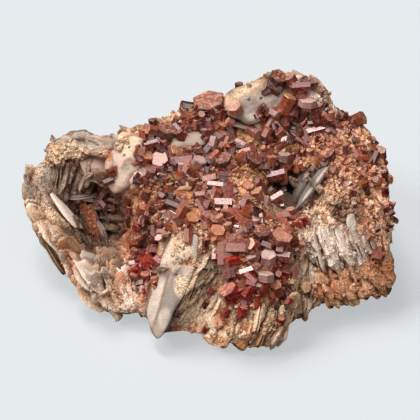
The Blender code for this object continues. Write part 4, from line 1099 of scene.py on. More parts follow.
@dataclass
class Leaves:
    """Blades split into thin leaves, with ragged edges, ridges and stain, and small blades among them.

    Attributes:
        strays: how many small blades are tried on the sides that face away.
        stray_size: their half length, half depth and thickness, in columns.
        nearest: how far to the front they may stand, in metres.
        farthest: how far to the rear.
        profile: size and lift of the outlines that a small blade is made of.
    """

    strays: int = 1800
    stray_size: tuple[float, float, float] = (20, 9, 4.6)
    nearest: float = -29 * MM
    farthest: float = 35.6 * MM
    profile: tuple = ((0.5, 0.5), (0.86, 0.42), (1, 0), (0.86, -0.42), (0.5, -0.5))
    noise: Lattice = Lattice(11)

    fullness: float = 0.8

    def outline(self, turns: np.ndarray, index: int) -> tuple[np.ndarray, np.ndarray]:
        """Full oval with a few uneven swells: |cos|^0.8 and |sin|^0.8 with their signs, times 1 + sines."""
        uneven = 1 + 0.09 * np.sin(turns * 3 + index * 2.4) + 0.06 * np.sin(turns * 5 + index)
        cosine, sine = np.cos(turns), np.sin(turns)
        return (np.sign(cosine) * np.abs(cosine) ** self.fullness * uneven,
                np.sign(sine) * np.abs(sine) ** self.fullness * uneven)

    def leaf(self, blade: tuple, index: int, number: int, fan: Fan, core: Core, front: bool) -> tuple:
        """One leaf of a blade: two domes z = h sqrt(1 - s^p) over an oval, joined at its rim.

        Args:
            blade: middle, long axis, normal and sizes of the blade.
            index: the blade's number, which sets its outline.
            number: which of its leaves this is.
            fan: the fan it belongs to.
            core: the core it stands on.
            front: whether it stands on the front.

        Returns:
            Points, quads, triangles and colours.
        """
        middle, along, normal, (length, depth, thick) = blade
        form = fan.leaf.value
        count, around, rings = form.leaves, form.around, form.rings
        deep = np.cross(normal, along)
        turns = np.arange(around) * TAU / around
        share = 1 - (1 - np.arange(1, rings + 1) / rings) ** 1.7
        cosine, sine = self.outline(turns, index)
        if fan.leaf is KNIFE:
            sine = sine * (0.4 + 0.6 * smooth(-1.0, 0.5, cosine))
        own = math.sin(index * 12.9 + number * 78.2)
        offset = (number - (count - 1) / 2) * thick / count
        size, frayed = (1.0, 0.03) if count == 1 else (0.93 + 0.09 * own, 0.09)
        rim = [cosine * length, sine * depth, np.full(around, index * 0.01 + number * 0.003)]
        ragged = 1 + frayed * self.noise.layers(np.column_stack(rim), 3 * MM, 3)
        flat = (np.outer(share, cosine * ragged)[..., None] * along * length
                + np.outer(share, sine * ragged)[..., None] * deep * depth) * size
        flat = flat + middle + normal * offset + along * length * 0.05 * own
        height = 0.5 * thick / count * 1.05 * np.sqrt(np.clip(1 - share**form.power, 0, 1))
        upper, lower = flat + normal * height[:, None, None], flat - normal * height[:, None, None]
        pole = middle + normal * offset + along * length * 0.05 * own
        inner = (rings - 1) * around
        top = np.arange(rings * around).reshape(rings, around)
        under = top + inner
        under[-1] = top[-1]
        under[:-1] = rings * around + np.arange(inner).reshape(rings - 1, around)
        points = np.concatenate([
            upper.reshape(-1, 3), lower[:-1].reshape(-1, 3),
            [pole + normal * height[0], pole - normal * height[0]],
        ])
        quads = np.concatenate([grid_faces(top, wrap=True)[:, ::-1], grid_faces(under, wrap=True)])
        first, ahead = np.arange(around), np.roll(np.arange(around), -1)
        caps = np.concatenate([
            np.column_stack([np.full(around, len(points) - 2), first, ahead]),
            np.column_stack([np.full(around, len(points) - 1), under[0][ahead], under[0]]),
        ])
        radial = np.concatenate([np.repeat(share, around), np.repeat(share[:-1], around), [0, 0]])
        faced = np.concatenate([np.ones(rings * around), -np.ones(inner), [1, -1]])[:, None] * normal
        outward = (points - pole) / max(length, 1e-6)
        side = unit(faced * (1.02 - radial**3)[:, None] + outward * radial[:, None])
        relief, tint = self.dress(points, radial, along, deep, fan, core, front, index + 0.37 * number)
        points = points + side * (relief * form.rough)[:, None]
        points[:, 2] = np.maximum(points[:, 2], 0.0)
        return points, quads, caps, tint

    def dress(self, points: np.ndarray, radial: np.ndarray, along: np.ndarray, deep: np.ndarray, fan: Fan,
              core: Core, front: bool, seed: float) -> tuple[np.ndarray, np.ndarray]:
        """Relief in metres and colour of a leaf's points.

        Ribbed leaves have noise drawn out along the blade, crusted ones pebbles, the others swells.
        Colour goes from pale at the rim to stained near the skin of the core.
        """
        swell = self.noise.layers(points, 3.5 * MM, 3)
        through = np.cross(along, deep)
        drawn = np.stack([points @ along / 7, points @ deep / 0.9, points @ through / 1.2], axis=-1)
        ridge = self.noise.layers(drawn, 1.0 * MM, 2)
        pebbles = 1 - self.noise.pebbles(points, 1.1 * MM)
        crease = self.noise.layers(points + 0.4, 4.5 * MM, 2)
        form = fan.leaf.value
        relief = (swell * form.swell * MM + (0.35 - np.abs(crease)) * form.crease * MM
                  + (pebbles - 0.4) * form.pebble * MM + ridge * form.ridge * MM)
        pale = fan.pale.rgb * (1 + 0.12 * math.sin(seed * 5.1))
        tint = np.repeat(pale[None], len(points), axis=0)
        stained = smooth(-0.1, 0.55, self.noise.layers(points + 0.2, 5 * MM, 2))
        tint = blend(tint, fan.stain.rgb, stained * 0.75)
        if fan.leaf in (PLATE, SLAB, RIB):
            tint = blend(tint, fan.stain.rgb * 0.8, smooth(0.0, 0.5, -ridge) * 0.6)
            tint = blend(tint, np.minimum(pale * 1.12, 0.9), smooth(0.9, 1.0, radial) * 0.5)
        if fan.leaf is NODULE:
            tint = blend(tint, tint * ASH.rgb / BLUSH.rgb, smooth(0.16, 0.0, np.abs(crease)) * 0.8)
        if fan.leaf in (CRUST, LUMP):
            tint = blend(tint, RUST.rgb, smooth(0.5, 0.2, pebbles) * 0.55)
        if front:
            columns, rows, outs = SHEET.read(points)
            above = outs - core.front_out(columns, rows)
            rusty = blend(tint, RUST.rgb, np.full(len(points), 0.6)) * 0.6
            tint = blend(tint, rusty, smooth(0.9 * MM, -0.4 * MM, above) * form.foot)
        else:
            patch = smooth(0.0, 0.5, self.noise.layers(points + 0.9, 8 * MM, 2))
            tint = blend(tint, OCHRE.rgb, patch * 0.7)
        return relief, tint * (1 + 0.12 * swell)[:, None]

    def field_blades(self, tree: BVHTree, random: np.random.Generator) -> list[tuple]:
        """Middle, long axis, normal, sizes and tint of each blade in the fields."""
        blades = []
        for field in SHARD_FIELDS:
            column, row, width, height, turn = field.place
            turn = math.radians(turn)
            for _ in range(field.count):
                reach, bearing = math.sqrt(random.random()), random.uniform(0, TAU)
                along, beside = reach * math.cos(bearing) * width, reach * math.sin(bearing) * height
                place = (column + along * math.cos(turn) - beside * math.sin(turn),
                         row - along * math.sin(turn) - beside * math.cos(turn))
                hit = cast_at(tree, *place)
                spot = SHEET.place(*place, 0.0)[None]
                swing = [self.noise.layers(spot + salt, 5 * MM, 2)[0] for salt in (0, 0.5, 0.9)]
                trace = math.radians(field.trace + 16 * swing[0] + random.normal(0, 4))
                lean = math.radians(field.lean + 22 * swing[1] + random.normal(0, 6))
                size = np.array(field.size) * STEP * random.uniform(0.55, 1.35, 3)
                share, shade = random.random() ** 1.5, random.uniform(0.75, 1.15)
                if hit is None:
                    continue
                edge, beside = turned(SHEET.across, SHEET.rise, trace)
                normal, _ = turned(beside, SHEET.out, lean)
                middle = hit[0] - SHEET.out * size[1] * math.cos(lean) * (0.74 + 0.2 * swing[2])
                tint = field.pale.rgb + (field.stain.rgb - field.pale.rgb) * share
                blades.append((middle, edge, normal, size, tint * shade))
        return blades

    def stray_blades(self, tree: BVHTree, random: np.random.Generator) -> list[tuple]:
        """The same for blades at random on the sides that face away, clear of the foot and smooth forms."""
        blades = []
        for _ in range(self.strays):
            direction = unit(random.normal(0, 1, 3) * (1, 1, 0.6))
            turn = random.normal(0, 0.2)
            size = np.array(self.stray_size) * STEP * random.uniform(0.5, 1.1, 3)
            stone, shade = STRAY_STONES[random.integers(len(STRAY_STONES))], random.uniform(0.75, 1.05)
            hit = cast_round(tree, direction)
            if hit is None or hit[1] @ SHEET.out > 0.35 or hit[0][2] < 1.5 * MM:
                continue
            column, row, _ = SHEET.read(hit[0])
            bare = hit[1] @ SHEET.out > 0 and min(ellipse(column, row, field) for field in BARE_FIELDS) < 1
            if bare or not self.nearest < hit[0][1] < self.farthest:
                continue
            heading = 0.6 + 2.0 * self.noise.layers(hit[0][None] + 0.4, 24 * MM, 2)[0] + turn
            first = unit(np.cross(hit[1], (0.3, 0.2, 1.0)))
            edge, _ = turned(first, np.cross(hit[1], first), heading)
            normal = unit(np.cross(edge, hit[1]) + 0.4 * hit[1])
            blades.append((hit[0] - hit[1] * size[1] * 0.78, edge, normal, size, stone.rgb * shade))
        return blades

    def shards(self, tree: BVHTree) -> Surface:
        """The small blades: each is a rim between two pairs of smaller outlines, with uneven corners."""
        random = np.random.default_rng(31)
        blades = self.field_blades(tree, random) + self.stray_blades(tree, random)
        middle, edge, normal, size, tint = (np.array(column) for column in zip(*blades))
        count, around, rings = len(blades), 10, len(self.profile)
        turns = np.arange(around) * TAU / around
        ragged = random.uniform(0.8, 1.12, (count, around))
        deep = np.cross(normal, edge)
        flat = ((np.cos(turns) * ragged * size[:, :1])[..., None] * edge[:, None]
                + (np.sin(turns) * ragged * size[:, 1:2])[..., None] * deep[:, None])
        thick = (normal * size[:, 2:])[:, None]
        outlines = [middle[:, None] + flat * share + thick * lift for share, lift in self.profile]
        points = np.stack(outlines, axis=1)
        points += normal[:, None, None] * (self.noise.layers(points, 1.3 * MM, 2) * 0.28 * MM)[..., None]
        points[..., 2] = np.maximum(points[..., 2], 0.0)
        tints = tint[:, None, None] * random.uniform(0.85, 1.12, (count, rings - 1, around))[..., None]
        ends = tint[:, None] * random.uniform(0.8, 1.0, (count, 2))[..., None]
        surface = Surface.empty()
        surface.add(points.reshape(-1, 3), tube_faces(count, rings, around),
                    np.concatenate([tints.reshape(-1, 3), ends.reshape(-1, 3)]), grit=0.55)
        return surface


def rear_blades(core: Core) -> list[tuple]:
    """Frames of the blades on the sides that face away."""
    frames = []
    for bearing, height, slant, lean, count, spread, *size in REAR_FANS:
        for index in range(count):
            share = index / (count - 1) - 0.5
            point, away = core.place(math.radians(bearing + spread * share), math.radians(height))
            along = unit(np.array([0.0, 0.0, 1.0]) - away[2] * away)
            along, beside = turned(along, np.cross(away, along), math.radians(slant + 18 * share))
            normal, _ = turned(beside, away, math.radians(lean))
            length, depth, thick = np.array(size) * STEP
            frames.append((point - away * depth * REAR_PROUD, along, normal,
                           np.array([length * (1.1 - 0.4 * abs(share)), depth, thick])))
    return frames


def blade_solid(blade: tuple, index: int) -> tuple[np.ndarray, list[tuple]]:
    """Points and faces of a blade's plain solid: a rim between two smaller outlines."""
    middle, along, normal, (length, depth, thick) = blade
    around = 7
    turns = np.arange(around) * TAU / around + 0.3
    cosine, sine = Leaves().outline(turns, index)
    flat = np.outer(cosine * length, along) + np.outer(sine * depth, np.cross(normal, along))
    lifts = ((0.78, 0.5), (1.0, 0.0), (0.78, -0.5))
    points = np.concatenate([middle + flat * size + normal * thick * lift for size, lift in lifts])
    index = np.arange(3 * around).reshape(3, around)
    return points, [tuple(face) for face in [*grid_faces(index, wrap=True), index[0], index[-1]]]


def cast(tree: BVHTree, start: np.ndarray,
         direction: np.ndarray) -> tuple[np.ndarray, np.ndarray, int] | None:
    """Place, normal and face number where a ray first meets a tree, or None."""
    place, normal, face, _ = tree.ray_cast(Vector(start), Vector(direction))
    return None if place is None else (np.array(place), np.array(normal), face)


def cast_at(tree: BVHTree, column: float, row: float) -> tuple[np.ndarray, np.ndarray, int] | None:
    """The same for a ray straight into the sheet at a place on it."""
    return cast(tree, SHEET.place(column, row, AHEAD), -SHEET.out)


def cast_round(tree: BVHTree, direction: np.ndarray) -> tuple[np.ndarray, np.ndarray, int] | None:
    """The same for a ray from outside towards the sheet's middle, against a direction."""
    return cast(tree, np.array(SHEET.point) + direction * AWAY, -direction)


@dataclass
class Prisms:
    """Hexagonal crystals as rows of numbers.

    Attributes:
        middle: middle of each, in metres.
        along: direction of each long axis.
        side: direction from each middle to a corner of its hexagon.
        half: half of each length.
        radius: distance of the corners from each long axis.
        looks: the Gem of each.
    """

    middle: np.ndarray
    along: np.ndarray
    side: np.ndarray
    half: np.ndarray
    radius: np.ndarray
    looks: list

    @classmethod
    def gather(cls, rows: list[tuple]) -> Prisms:
        """Prisms from a list of rows, each with the six numbers or vectors in order."""
        middle, along, side, half, radius, looks = zip(*rows)
        return cls(*(np.array(column) for column in (middle, along, side, half, radius)), list(looks))

    def part(self, picks: np.ndarray) -> Prisms:
        """Some of the prisms."""
        return Prisms(self.middle[picks], self.along[picks], self.side[picks], self.half[picks],
                      self.radius[picks], [self.looks[pick] for pick in picks])

    def wheel(self, turns: np.ndarray) -> np.ndarray:
        """Directions from each axis at turns from its side: an array of prisms, turns and coordinates."""
        beside = np.cross(self.along, self.side)[:, None]
        return np.cos(turns)[:, None] * self.side[:, None] + np.sin(turns)[:, None] * beside

    def corners(self) -> np.ndarray:
        """The twelve corners of each, as an array of rows, corners and coordinates."""
        ring = self.wheel(np.arange(6) * TAU / 6) * self.radius[:, None, None]
        ends = (self.along * self.half[:, None])[:, None]
        middle = self.middle[:, None]
        return np.concatenate([middle + ring - ends, middle + ring + ends], axis=1)

    def draw(self, surface: Surface, bevel: float, seed: int) -> None:
        """Add the prisms to a surface.

        Each prism is a stack of rings of points on its hexagon. With a bevel the corners of the hexagon
        and the rims of the ends are cut off, and its waist is a little uneven. The ends lie slightly askew.

        Args:
            surface: where they go.
            bevel: width of the cut at the edges as a share of the radius, or 0 for plain prisms.
            seed: seed of the differences between their faces.
        """
        random = np.random.default_rng(seed)
        if bevel:
            cut = math.radians(60) * bevel
            turns = (np.arange(6)[:, None] * TAU / 6 + np.array([-cut, cut])).ravel()
            reach = np.full(12, math.cos(TAU / 12) / math.cos(TAU / 12 - cut))
            size, drop = np.array([0.6, 1 - bevel, 1.0, 1.0]), np.array([0.0, 0.0, bevel, 0.5])
        else:
            turns, reach = np.arange(6) * TAU / 6, np.ones(6)
            size, drop = np.array([1.0]), np.array([0.0])
        around, count, steps = len(turns), len(self.half), len(size)
        size, drop = np.concatenate([size, size[::-1]]), np.concatenate([drop, drop[::-1]])
        sign = np.repeat([1.0, -1.0], steps)
        size = size * np.where(drop == 0.5, random.uniform(0.93, 1.0, (count, 1)), 1.0)
        cut_back = np.minimum(drop * self.radius[:, None], 0.4 * self.half[:, None])
        heights = sign * (self.half[:, None] - cut_back)
        skew, narrow = (0.07, 0.84) if bevel else (0.16, 0.72)
        circle = np.stack([np.cos(turns), np.sin(turns)])
        tilts = np.repeat(random.normal(0, skew, (count, 2, 2)) @ circle, steps, axis=1)
        heights = heights[..., None] + tilts * size[..., None] * self.radius[:, None, None]
        uneven = np.repeat(random.uniform(narrow, 1.0, (count, 6)), around // 6, axis=1)
        ring = self.wheel(turns) * (reach * uneven)[..., None]
        points = (self.middle[:, None, None] + self.along[:, None, None] * heights[..., None]
                  + ring[:, None] * (size * self.radius[:, None])[..., None, None])
        points[..., 2] = np.maximum(points[..., 2], 0.0)
        sides = np.array([look.sides for look in self.looks])
        ends = np.array([look.ends for look in self.looks])
        is_end = np.zeros((count, 2 * steps - 1, around))
        if bevel:
            is_end[:, 0] = is_end[:, -1] = 1.0
        shade = 1 + 0.6 * (random.random((count, 1, 6)) - 0.5) + 0.3 * (random.random((count, 1, 1)) - 0.5)
        shade = np.repeat(shade, around // 6, axis=2)
        tint = sides[:, None, None] * (1 - is_end[..., None]) + ends[:, None, None] * is_end[..., None]
        tint = tint * shade[..., None]
        shade = 1 + 0.25 * (random.random((count, 2, 1)) - 0.5)
        surface.add(points.reshape(-1, 3), tube_faces(count, 2 * steps, around),
                    np.concatenate([tint.reshape(-1, 3), (ends[:, None] * shade).reshape(-1, 3)]),
                    np.concatenate([is_end.ravel(), np.ones(count * 2)]))


@dataclass
class Growth:
    """Everything that grew on the matrix: the set crystals, small ones between them, and grains.

    Attributes:
        core: the core under it.
        coarse: tree of the plain core and blades, where the set crystals are seated.
        fine: tree of the finished matrix, where the rest is seated.
        grit: how grainy each face of that tree is.
        tries: how many places are tried for a small crystal.
        least: least radius of a small crystal, in columns.
        spread: how much more the widest ones have.
        room: least gap between crystals.
        grain_tries: how many places are tried for a grain at the front.
        rear_tries: how many directions are tried for grains on every side.
    """

    core: Core
    coarse: BVHTree
    fine: BVHTree
    grit: np.ndarray
    tries: int = 15000
    least: float = 2.3
    spread: float = 4.8
    room: float = 0.44
    grain_tries: int = 26000
    rear_tries: int = 2400
    noise: Lattice = Lattice(23)

    def set_crystals(self) -> Prisms:
        """The crystals of the table, seated as their solids are."""
        rows = []
        letters = {look.name[0]: look for look in Gem}
        for index, (column, row, width, length, axis, lean, lift, letter) in enumerate(CRYSTALS):
            flat, _ = turned(SHEET.across, SHEET.rise, math.radians(axis))
            along, _ = turned(flat, SHEET.out, math.radians(lean))
            start = SHEET.place(column, row, AHEAD)
            hit = cast(self.coarse, start, -SHEET.out)
            seat = float(self.core.front_out(column, row))
            if hit is not None:
                seat = AHEAD - float((start - hit[0]) @ SHEET.out)
            middle = SHEET.place(column, row, seat + (CRYSTAL_LIFT * width + lift) * STEP)
            side = unit(np.cross(along, SHEET.across if abs(along[0]) < 0.8 else SHEET.rise))
            side, _ = turned(side, np.cross(along, side), math.radians(SPIN_STEP * index))
            rows.append((middle, along, side, length * STEP / 2, width * STEP / 2, letters[letter]))
        return Prisms.gather(rows)

    def chance(self, places: np.ndarray, fields: tuple, rim: tuple, cell: float,
               open_to: tuple) -> np.ndarray:
        """How likely each place takes one: the shares of fields, faded at their rims, times clusters."""
        chance = np.zeros(len(places))
        for *field, share in fields:
            reach = ellipse(places[:, 0], places[:, 1], field)
            chance = np.maximum(chance, smooth(*rim, reach) * share)
        clusters = self.noise.layers(SHEET.place(places[:, 0], places[:, 1], np.zeros(len(places))), cell, 2)
        return chance * smooth(*open_to, clusters)

    def small_crystals(self, taken: Prisms) -> Prisms:
        """Small crystals on the front, crowded where the fields say so and clear of those that stand."""
        random = np.random.default_rng(5)
        columns, rows, _ = SHEET.read(taken.middle)
        near = np.column_stack([columns, rows, taken.radius / STEP * 0.72])
        places = np.column_stack([random.uniform(25, 392, self.tries), random.uniform(75, 345, self.tries)])
        chance = self.chance(places, CRYSTAL_FIELDS, (1.2, 0.6), 5 * MM, (-0.4, 0.2))
        found = []
        for place in places[random.random(self.tries) < chance]:
            size = self.least + self.spread * random.random() ** 1.4
            if ellipse(*place, TINY_FIELD) < 1:
                size *= 0.62
            elif ellipse(*place, PALE_FIELDS[0]) < 1:
                size *= 1.25
            gaps = np.hypot(near[:, 0] - place[0], near[:, 1] - place[1])
            if (gaps < near[:, 2] * 0.72 + self.room + size * 0.25).any():
                continue
            hit = cast_at(self.fine, *place)
            if hit is None:
                continue
            near = np.concatenate([near, [(*place, size * 0.7)]])
            if random.random() > 0.25 + self.grit[hit[2]]:
                continue
            looks = PALE_LOOKS if min(ellipse(*place, field) for field in PALE_FIELDS) < 1 else LOOKS
            look = looks[random.integers(len(looks))]
            if place[1] > CHERRY_ROW and look in (Gem.DEEP, Gem.MAROON, Gem.ORANGE):
                look = Gem.CHERRY
            found.append(self.seated(*hit[:2], size * STEP, random, look))
        return Prisms.gather(found)

    def seated(self, place: np.ndarray, normal: np.ndarray, radius: float, random: np.random.Generator,
               look: Gem) -> tuple:
        """A row for Prisms: a crystal on a surface, leaning at random round its normal."""
        along = unit(normal * 0.35 + unit(random.normal(0, 1, 3) - normal * random.uniform(0, 1)))
        along = unit(along - SHEET.out * (along @ SHEET.out) * 0.6)
        side = unit(np.cross(along, random.normal(0, 1, 3)))
        half = radius * random.uniform(0.6, 1.6)
        lift = max(along @ normal, 0.0) * half * 0.5 + radius * 0.15
        return place + normal * lift, along, side, half, radius, look

    def grains(self) -> Surface:
        """Sugary grains: squashed eight-sided beads, crowded where the fields say so."""
        random = np.random.default_rng(9)
        tries = self.grain_tries
        places = np.column_stack([random.uniform(25, 395, tries), random.uniform(72, 345, tries)])
        chance = self.chance(places, GRAIN_FIELDS, (1.25, 0.7), 3.5 * MM, (-0.25, 0.25))
        found = [cast_at(self.fine, *place) for place in places[random.random(tries) < chance]]
        hits = [hit for hit in found if hit is not None and self.grit[hit[2]] > 0.5]
        for _ in range(self.rear_tries):
            hit = cast_round(self.fine, unit(random.normal(0, 1, 3) * (1, 1, 0.7)))
            if hit is None or hit[0][2] < 1 * MM:
                continue
            if self.grit[hit[2]] > 0.5 and self.noise.value(hit[0][None], 9 * MM)[0] > -0.1:
                hits.append(hit)
        spots, normals = (np.array([hit[part] for hit in hits]) for part in (0, 1))
        return self.beads(spots, normals, random)

    def beads(self, spots: np.ndarray, normals: np.ndarray, random: np.random.Generator) -> Surface:
        """Beads at spots: six points each, on three crossed axes of uneven length, and eight faces."""
        count = len(spots)
        columns, rows, _ = SHEET.read(spots)
        coarse = smooth(1.3, 0.6, ellipse(columns, rows, TINY_FIELD))
        size = (0.24 + 0.62 * random.random(count) ** 2.4) * (1 + 0.35 * coarse) * MM
        first = unit(random.normal(0, 1, (count, 3)))
        second = unit(np.cross(first, random.normal(0, 1, (count, 3))))
        axes = np.stack([first, second, np.cross(first, second)], axis=1)
        axes = axes * (size[:, None] * random.uniform(0.7, 1.25, (count, 3)))[..., None]
        middle = spots + normals * (size * 0.3)[:, None]
        points = np.concatenate([middle[:, None] + axes, middle[:, None] - axes], axis=1)
        points[..., 2] = np.maximum(points[..., 2], 0.0)
        faces = np.array(BEAD_FACES)[None] + (np.arange(count) * 6)[:, None, None]
        shade = random.uniform(0.8, 1.3, count) * (1 + 0.25 * coarse)
        tint = Matrix().ground(spots, normals @ SHEET.out > 0)[1] * shade[:, None]
        others = np.array([stone.rgb for stone in (CREAM, PEACH, ORANGE, UMBER, BLUSH)])
        tint = blend(tint, others[random.integers(len(others), size=count)], random.random(count) * 0.75)
        surface = Surface.empty()
        surface.add(points.reshape(-1, 3), [faces.reshape(-1, 3)], np.repeat(tint, 8, axis=0))
        return surface


@dataclass
class Relief:
    """How far the front stands over or under its surroundings, on a grid over the sheet.

    Attributes:
        tree: tree of the finished surfaces.
        left: first column of the grid.
        top: first row of the grid.
        width: how many columns.
        height: how many rows.
        close: reach of the small neighbourhoods, in steps.
        wide: reach of the large ones.
        painted_shade_factor: what a colour is multiplied by in the deepest hollows, as painted shade.
    """

    tree: BVHTree
    left: int = 15
    top: int = 60
    width: int = 392
    height: int = 300
    close: int = 4
    wide: int = 14
    painted_shade_factor: tuple[float, float, float] = (0.34, 0.20, 0.13)

    def __post_init__(self) -> None:
        """Measure the reach of the front on the grid, and its mean over two sizes of neighbourhood."""
        outs = np.full((self.height, self.width), np.nan)
        for row in range(self.height):
            for column in range(self.width):
                start = SHEET.place(self.left + column, self.top + row, AHEAD)
                hit = self.tree.ray_cast(Vector(start), Vector(-SHEET.out))[0]
                if hit is not None:
                    outs[row, column] = AHEAD - float((start - np.array(hit)) @ SHEET.out)
        self.mask = (~np.isnan(outs)).astype(float)
        self.outs = np.nan_to_num(outs)
        self.near, self.far = self.mean(self.close), self.mean(self.wide)
        self.cover = smooth(0.5, 0.9, self.sums(self.mask, self.wide) / (2 * self.wide + 1) ** 2)

    def sums(self, field: np.ndarray, reach: int) -> np.ndarray:
        """Sums of a field over squares of 2 x reach + 1 steps."""
        side = 2 * reach + 1
        run = np.pad(field, reach + 1).cumsum(axis=0).cumsum(axis=1)
        total = run[side:, side:] - run[:-side, side:] - run[side:, :-side] + run[:-side, :-side]
        return total[:self.height, :self.width]

    def mean(self, reach: int) -> np.ndarray:
        """Mean of the reach over such squares, counting only what is hit."""
        return self.sums(self.outs, reach) / np.maximum(self.sums(self.mask, reach), 1)

    def cell(self, columns: np.ndarray, rows: np.ndarray) -> tuple[np.ndarray, np.ndarray]:
        """Row and column on the grid of places on the sheet."""
        return (np.clip(np.round(rows - self.top).astype(int), 0, self.height - 1),
                np.clip(np.round(columns - self.left).astype(int), 0, self.width - 1))

    def sink(self, points: np.ndarray) -> np.ndarray:
        """How deep points lie in hollows: 0 on open ground and on crests, up to 1 in deep ones."""
        columns, rows, outs = SHEET.read(points)
        cell = self.cell(columns, rows)
        seen = smooth(-3 * MM, -0.8 * MM, outs - self.outs[cell])
        near = smooth(0.05 * MM, 0.65 * MM, self.near[cell] - outs)
        far = smooth(0.3 * MM, 3.2 * MM, self.far[cell] - outs) * self.cover[cell]
        return (1 - (1 - 0.75 * near) * (1 - 0.8 * far)) * seen * self.mask[cell]

    def mark(self, colours: np.ndarray, places: np.ndarray) -> np.ndarray:
        """Colours and grit with the marks laid over them, their edges broken up by noise."""
        columns, rows, outs = SHEET.read(places)
        noise = Lattice(41)
        wobble = 0.5 * noise.layers(places, 2.5 * MM, 3) + 0.25 * noise.value(places, 0.6 * MM)
        seen = smooth(-4 * MM, -1.5 * MM, outs - self.outs[self.cell(columns, rows)])
        for *place, stone, strength, grit in MARKS:
            share = smooth(1.25, 0.7, ellipse(columns, rows, place) + wobble) * strength * seen
            goal = np.column_stack([stone.rgb * (1 + 0.45 * wobble)[:, None], np.full(len(places), grit)])
            colours = blend(colours, goal, share)
        return colours

    def stain(self, item: bpy.types.Object, depth: float) -> None:
        """Lay the marks over an object's tint if it is stone, and darken it where it lies in hollows as
        painted shade.
        """
        mesh = item.data
        places = fetch(mesh.vertices, "co", 3, float)
        layer = mesh.attributes["tint"]
        if layer.domain == "CORNER":
            places = places[fetch(mesh.loops, "vertex_index", kind=np.int32)]
        colours = fetch(layer.data, "color", 4)
        if "end" not in mesh.attributes:
            colours = self.mark(colours, places)
        # Painted shade: the deeper a point lies in a hollow, the darker and browner it is made.
        share = self.sink(places) * depth
        low = colours[:, :3] * np.array(self.painted_shade_factor) + SOOT.rgb * 0.25
        colours[:, :3] = blend(colours[:, :3], low, share)
        layer.data.foreach_set("color", colours.astype(np.float32).ravel())


TOUCH = 0.03 * MM  # corners this close to a point of a node are the same corner


def owners(prisms: Prisms, nodes: dict) -> list[str | None]:
    """The crystal node that each prism stands for, or None where it grew into the matrix.

    A prism belongs to the node that has at least three of its corners among its points.
    """
    clouds = {}
    for name, node in nodes.items():
        if name.startswith("vanadinite"):
            turn = np.array(node.matrix_world)
            clouds[name] = fetch(node.data.vertices, "co", 3, float) @ turn[:3, :3].T + turn[:3, 3]
    result = []
    for corners in prisms.corners():
        shares = {
            name: int((np.linalg.norm(cloud[:, None] - corners, axis=-1).min(axis=0) < TOUCH).sum())
            for name, cloud in clouds.items()
        }
        best = max(shares, key=shares.get)
        result.append(best if shares[best] >= 3 else None)
    return result


class Wire:
    """A number or colour on its way between shader nodes, with the usual signs of arithmetic."""

    def __init__(self, shader: Shader, socket: bpy.types.NodeSocket) -> None:
        """Wrap an output socket of a node in a shader."""
        self.shader, self.socket = shader, socket

    def math(self, operation: str, *others: Wire | float) -> Wire:
        """The result of a Math node on this and other values."""
        return self.shader.node("ShaderNodeMath", {"operation": operation}, dict(enumerate((self, *others))))

    def __add__(self, other: Wire | float) -> Wire:
        """This plus another."""
        return self.math("ADD", other)

    def __radd__(self, other: float) -> Wire:
        """A number plus this."""
        return self.math("ADD", other)

    def __sub__(self, other: Wire | float) -> Wire:
        """This less another."""
        return self.math("SUBTRACT", other)

    def __rsub__(self, other: float) -> Wire:
        """A number less this."""
        return (self * -1.0).math("ADD", other)

    def __mul__(self, other: Wire | float) -> Wire:
        """This times another."""
        return self.math("MULTIPLY", other)

    def __rmul__(self, other: float) -> Wire:
        """A number times this."""
        return self.math("MULTIPLY", other)

    def ramp(self, low: float, high: float) -> Wire:
        """0 where this is below low, 1 above high, even between them."""
        inputs = {0: self, 1: low, 2: high, 3: 0.0, 4: 1.0}
        return self.shader.node("ShaderNodeMapRange", {"clamp": True}, inputs)

    def scaled(self, factor: Wire) -> Wire:
        """This colour times a number."""
        inputs = {"Vector": self, "Scale": factor}
        return self.shader.node("ShaderNodeVectorMath", {"operation": "SCALE"}, inputs)

    def tinted(self, factor: tuple[float, float, float]) -> Wire:
        """The colour times another."""
        return self.shader.node("ShaderNodeVectorMath", {"operation": "MULTIPLY"}, {0: self, 1: factor})

    def toward(self, other: Wire | tuple, share: Wire | float) -> Wire:
        """This colour mixed with another one."""
        return self.shader.node("ShaderNodeMix", {"data_type": "RGBA"}, {0: share, 6: self, 7: other}, 2)


